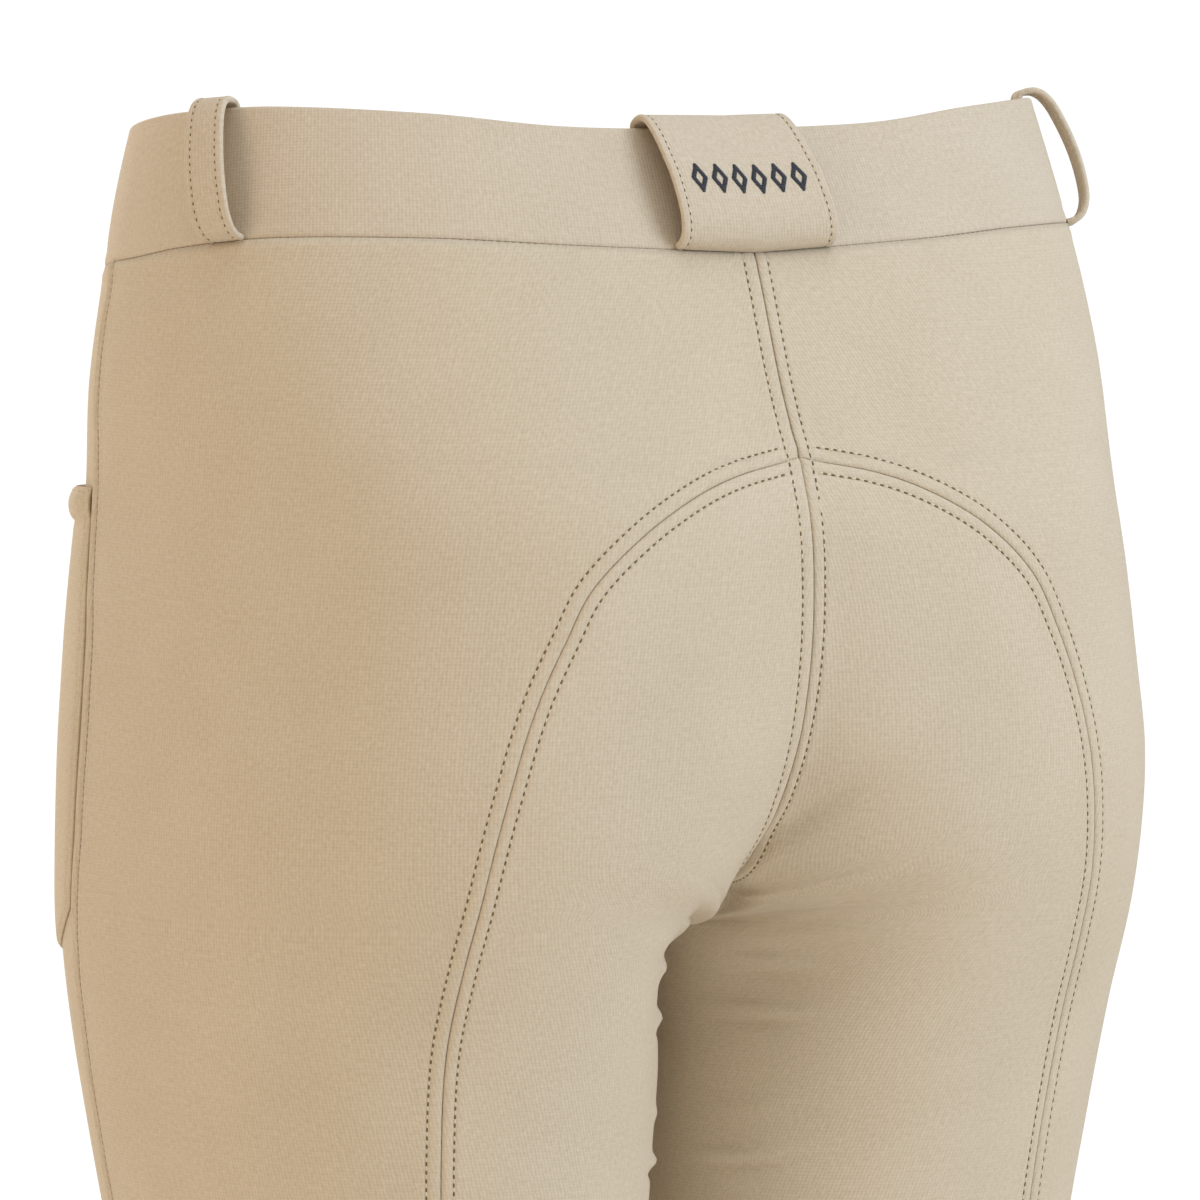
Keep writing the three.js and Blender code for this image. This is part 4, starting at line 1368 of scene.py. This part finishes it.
def pocketLift(a, t):
    depth = phonePocket["top"] - phonePocket["bottom"]
    fromSide = np.minimum(a, 1 - a) * phonePocket["width"]
    fromTop = t * depth
    fromBottom = (1 - t) * depth
    full = np.sin(math.pi * a) * np.sin(math.pi * (1 - t) / 2) * phonePocket["fullness"]
    fromEdge = np.minimum(fromSide, fromBottom)
    sewn = -phonePocket["edgeDrop"] * np.clip(1 - fromEdge / 2.0, 0, 1) ** 1.5
    sewn = sewn - 0.25 * bump(fromEdge, phonePocket["stitchInset"], 0.6)
    crown = np.clip(1 - ((fromTop - 5.2) / 5.2) ** 2, 0, 1) ** 0.7
    hem = phonePocket["hemBulge"] * crown * np.clip(fromSide / 6, 0.35, 1)
    pinch = -0.25 * bump(fromTop, phonePocket["hem"] + 0.8, 0.7)
    return cut["seamGap"] + cut["cloth"] + full + sewn + hem + pinch


def sewnOnPlace(a, t, proud):
    girth, z = pocketPlace(a, t)
    points, normals = clothPlace(girth, z)
    lift = clothWave(girth, z) + pocketLift(a, t) + proud
    return points + normals * lift[..., None], normals


def makePocket():
    depth = phonePocket["top"] - phonePocket["bottom"]
    edge = np.array([0, 0.4, 0.9, 1.5, 2.2, 3.0, 4.5, 6.5])
    side = edge / phonePocket["width"]
    foot = edge / depth
    hem = [0, 0.3, 0.7, 1.3, 2.2, 3.4, 4.8, 6.2, 7.6, 8.8, 9.6, 10.2, 10.8, 11.5, 12.6, 14.5]
    top = np.array(hem) / depth
    a = np.concatenate([side, np.linspace(side[-1], 1 - side[-1], 26)[1:-1], 1 - side[::-1]])
    t = np.concatenate([top, np.linspace(top[-1], 1 - foot[-1], 44)[1:-1], 1 - foot[::-1]])
    a, t = np.meshgrid(a, t)
    piece = finishMesh("phonePocket", gridMesh(sewnOnPlace(a, t, 0.0)[0], cutPattern(*pocketPlace(a, t))))
    giveWall(piece, phonePocket["wall"])
    dress(piece, legTwill, "cloth", "phone_pocket")
    insetA = phonePocket["stitchInset"] / phonePocket["width"]
    insetT = phonePocket["stitchInset"] / depth
    run = np.linspace(0, 1, 160)
    border = [
        (insetA + 0 * run, run * (1 - insetT)),
        (insetA + run * (1 - 2 * insetA), 1 - insetT + 0 * run),
        (1 - insetA + 0 * run, (1 - run) * (1 - insetT)),
        (run, 1.3 / depth + 0 * run),
        (run, (phonePocket["hem"] + 0.8) / depth + 0 * run),
    ]
    return [sewnOnPlace(lineA, lineT, 0.05) for lineA, lineT in border]


sewRows("pocketTopstitching", makePocket(), topstitching["pitch"], topstitching["plainStitch"],
        seamThread, "cloth", topstitching["plainLean"])
print("stage: pocket")


# the fly: a facing over the front seam, its J of topstitching, the zip behind it and the button
fly = {
    "sides": (-4.0, 36.0),
    "topDrop": 0.3,
    "length": 118.0,
    "curve": 20.0,
    "curveFrom": 4.0,
    "proud": 1.5,
    "wall": 1.1,
    "rowInset": 3.2,
    "straight": 0.72,  # share of the J that runs straight down
    "tapeHalf": 13.0,
    "tapeDrop": 4.0,
    "tapeLength": 112.0,
    "tapeDepth": 2.45,
    "tapeWall": 0.9,
    "toothPitch": 2.5,
    "tooth": (3.4, 0.9, 0.8),
    "toothSide": 0.7,
    "toothDepth": 3.75,
    "toothBevel": 0.2,
}


def flyPlace(side, z, out):
    girth = frontSeamGirth(z) - np.abs(side)
    points, normals = clothPlace(girth, z)
    points = points + normals * out[..., None]
    sign = np.where(side < 0, -1.0, 1.0)
    points[..., 0] = np.maximum(points[..., 0], 0) * sign
    normals[..., 0] *= sign
    return points, normals


def flyEnds(side, topDrop, length, curved):
    start = along(waistEdges, 1 - np.abs(side) / halfWaist, "seam") - topDrop
    low, high = fly["curveFrom"], fly["sides"][1]
    rise = fly["curve"] * (np.clip(side - low, 0, None) / (high - low)) ** 2.2 if curved else 0 * side
    return start, waistEdges[1][-1][1] - length + rise


def makeFly():
    inner, outer = fly["sides"]
    side = np.concatenate([np.linspace(outer, 0, 40), np.linspace(0, inner, 7)[1:]])
    start, end = flyEnds(side, fly["topDrop"], fly["length"], True)
    t = np.concatenate([[0, 0.004, 0.01], np.linspace(0.02, 0.975, 60), [0.985, 0.993, 1]])[:, None]
    z = between(start, end, t)
    fromEdge = np.minimum(np.minimum(outer - side, side - inner)[None, :], (1 - t) * (start - end))
    edge = 0.45 * np.clip(1 - fromEdge / 1.2, 0, 1) ** 2
    out = fly["proud"] - edge - 0.2 * bump(fromEdge, fly["rowInset"], 0.6)
    across = side[None, :] + 0 * z
    piece = finishMesh("flyFacing", gridMesh(flyPlace(across, z, out)[0], cutPattern(-across, z)))
    giveWall(piece, fly["wall"])
    dress(piece, legTwill, "cloth", "fly_facing")
    run = np.linspace(0, 1, 200)
    inset = outer - fly["rowInset"]
    turned = np.clip((run - fly["straight"]) / (1 - fly["straight"]), 0, 1) ** 1.3
    sides = inset - (inset + 1.0) * turned
    starts, ends = flyEnds(sides, fly["topDrop"], fly["length"], True)
    heights = between(starts, ends + fly["rowInset"], np.minimum(run / fly["straight"], 1))
    return [flyPlace(sides, heights, fly["proud"] - 0.14 + 0 * run)]


def makeZip():
    side = np.linspace(fly["tapeHalf"], -fly["tapeHalf"], 27)
    middle = len(side) // 2
    start, end = flyEnds(side, fly["tapeDrop"], fly["tapeLength"], False)
    z = between(start, end, np.linspace(0, 1, 60)[:, None])
    across = side[None, :] + 0 * z
    out = -fly["tapeDepth"] - 0.12 * bump(np.abs(across), 3.0, 0.8)
    piece = finishMesh("zipTape", gridMesh(flyPlace(across, z, out)[0], cutPattern(-across, z)))
    giveWall(piece, fly["tapeWall"])
    dress(piece, zipTapeCloth, "tape", "zip_tape")
    teeth = bmesh.new()
    heights = np.arange(float(end[middle]) + 2, float(start[middle]) - 2, fly["toothPitch"] / 2)
    for k, height in enumerate(heights):
        place = np.array([fly["toothSide"] if k % 2 else -fly["toothSide"]])
        point = flyPlace(place, np.array([height]), np.array([-fly["toothDepth"]]))[0][0]
        tooth = bmesh.ops.create_cube(teeth, size=1.0)["verts"]
        bmesh.ops.scale(teeth, verts=tooth, vec=[size * mm for size in fly["tooth"]])
        bmesh.ops.translate(teeth, verts=tooth, vec=tuple(point * mm))
    bmesh.ops.bevel(teeth, geom=teeth.edges[:], offset=fly["toothBevel"] * mm, segments=1, profile=0.5,
                    affect="EDGES", material=-1)
    dress(finishMesh("zipTeeth", teeth), zipNylon, "tape")


flyLines = makeFly()
makeZip()
sewRows("flyTopstitching", flyLines, topstitching["pitch"], topstitching["plainStitch"],
        seamThread, "cloth", topstitching["plainLean"])
print("stage: fly and zip")


# the button: turned from a profile, sewn through four holes on a shank of thread
waistButton = {
    "fromLapEnd": 15.0,
    "proud": 0.3,
    "face": 2.7,
    "profile": [
        # out from the middle and up
        (0.01, 1.1), (1.6, 1.1), (6.6, 1.1), (7.2, 1.6), (7.2, 2.5), (6.5, 3.1), (5.2, 3.1), (4.6, 2.7),
        (0.01, 2.7),
    ],
    "holeAt": 1.35,
    # size of the dark discs of painted shade in the four holes
    "holeShadeRadius": 0.6,
    "holeShadeDepth": 0.1,
    "threadUp": 2.95,
    "thread": (2.0, 0.4, 0.45),
    "shankRadius": 1.6,
    "shankHeight": 1.1,
}


def makeButton():
    way = -1 - (waistband["lap"] - waistButton["fromLapEnd"]) / halfWaist
    foot, normal = bandPlace(np.array([way]), bandHeightAt(1.0) / 2, waistButton["proud"])
    foot, normal = Vector(foot[0]), Vector(normal[0]).normalized()
    turn = normal.to_track_quat("Z", "Y").to_matrix().to_4x4()
    at = waistButton["holeAt"]

    def onBand(name, mesh, material, *node):
        bmesh.ops.transform(mesh, matrix=turn, verts=mesh.verts)
        bmesh.ops.translate(mesh, verts=mesh.verts, vec=foot * mm)
        dress(finishMesh(name, mesh), material, "button", *node)

    def disc(mesh, radius, depth, segments, place):
        verts = bmesh.ops.create_cone(mesh, cap_ends=True, segments=segments, radius1=radius * mm,
                                      radius2=radius * mm, depth=depth * mm)["verts"]
        bmesh.ops.translate(mesh, verts=verts, vec=[size * mm for size in place])

    mesh = bmesh.new()
    profile = [mesh.verts.new((r * mm, 0, h * mm)) for r, h in waistButton["profile"]]
    edges = [mesh.edges.new(pair) for pair in zip(profile, profile[1:])]
    bmesh.ops.spin(mesh, geom=profile + edges, cent=(0, 0, 0), axis=(0, 0, 1), dvec=(0, 0, 0),
                   angle=2 * math.pi, steps=48, use_merge=True, use_duplicate=False)
    bmesh.ops.remove_doubles(mesh, verts=mesh.verts, dist=2e-5)
    bmesh.ops.recalc_face_normals(mesh, faces=mesh.faces)
    onBand("waistButton", mesh, buttonPlastic, "waist_button")
    # dark discs of painted shade where the four holes go through the button
    holeShadeDiscs = bmesh.new()
    for x in (-at, at):
        for y in (-at, at):
            disc(holeShadeDiscs, waistButton["holeShadeRadius"], waistButton["holeShadeDepth"], 14, (x, y, waistButton["face"]))
    onBand("buttonPaintedHoleShade", holeShadeDiscs, paintedShadeDots)
    groups = []
    for x in (-at, at):
        for strand in (-0.3, 0.0, 0.3):
            a, b = [turn @ Vector((x + strand, y, waistButton["threadUp"])) + foot for y in (-at, at)]
            ahead = np.array(b - a) / 2
            side = np.cross(np.array(normal), unit(ahead))
            groups.append((np.array((a + b) / 2)[None], ahead[None], side[None], np.array(normal)[None]))
    threadPiece("buttonThread", groups, waistButton["thread"], seamThread, "button")
    shank = bmesh.new()
    height = waistButton["shankHeight"]
    disc(shank, waistButton["shankRadius"], height, 20, (0, 0, height / 2))
    onBand("buttonShank", shank, seamThread)


makeButton()
print("stage: button")
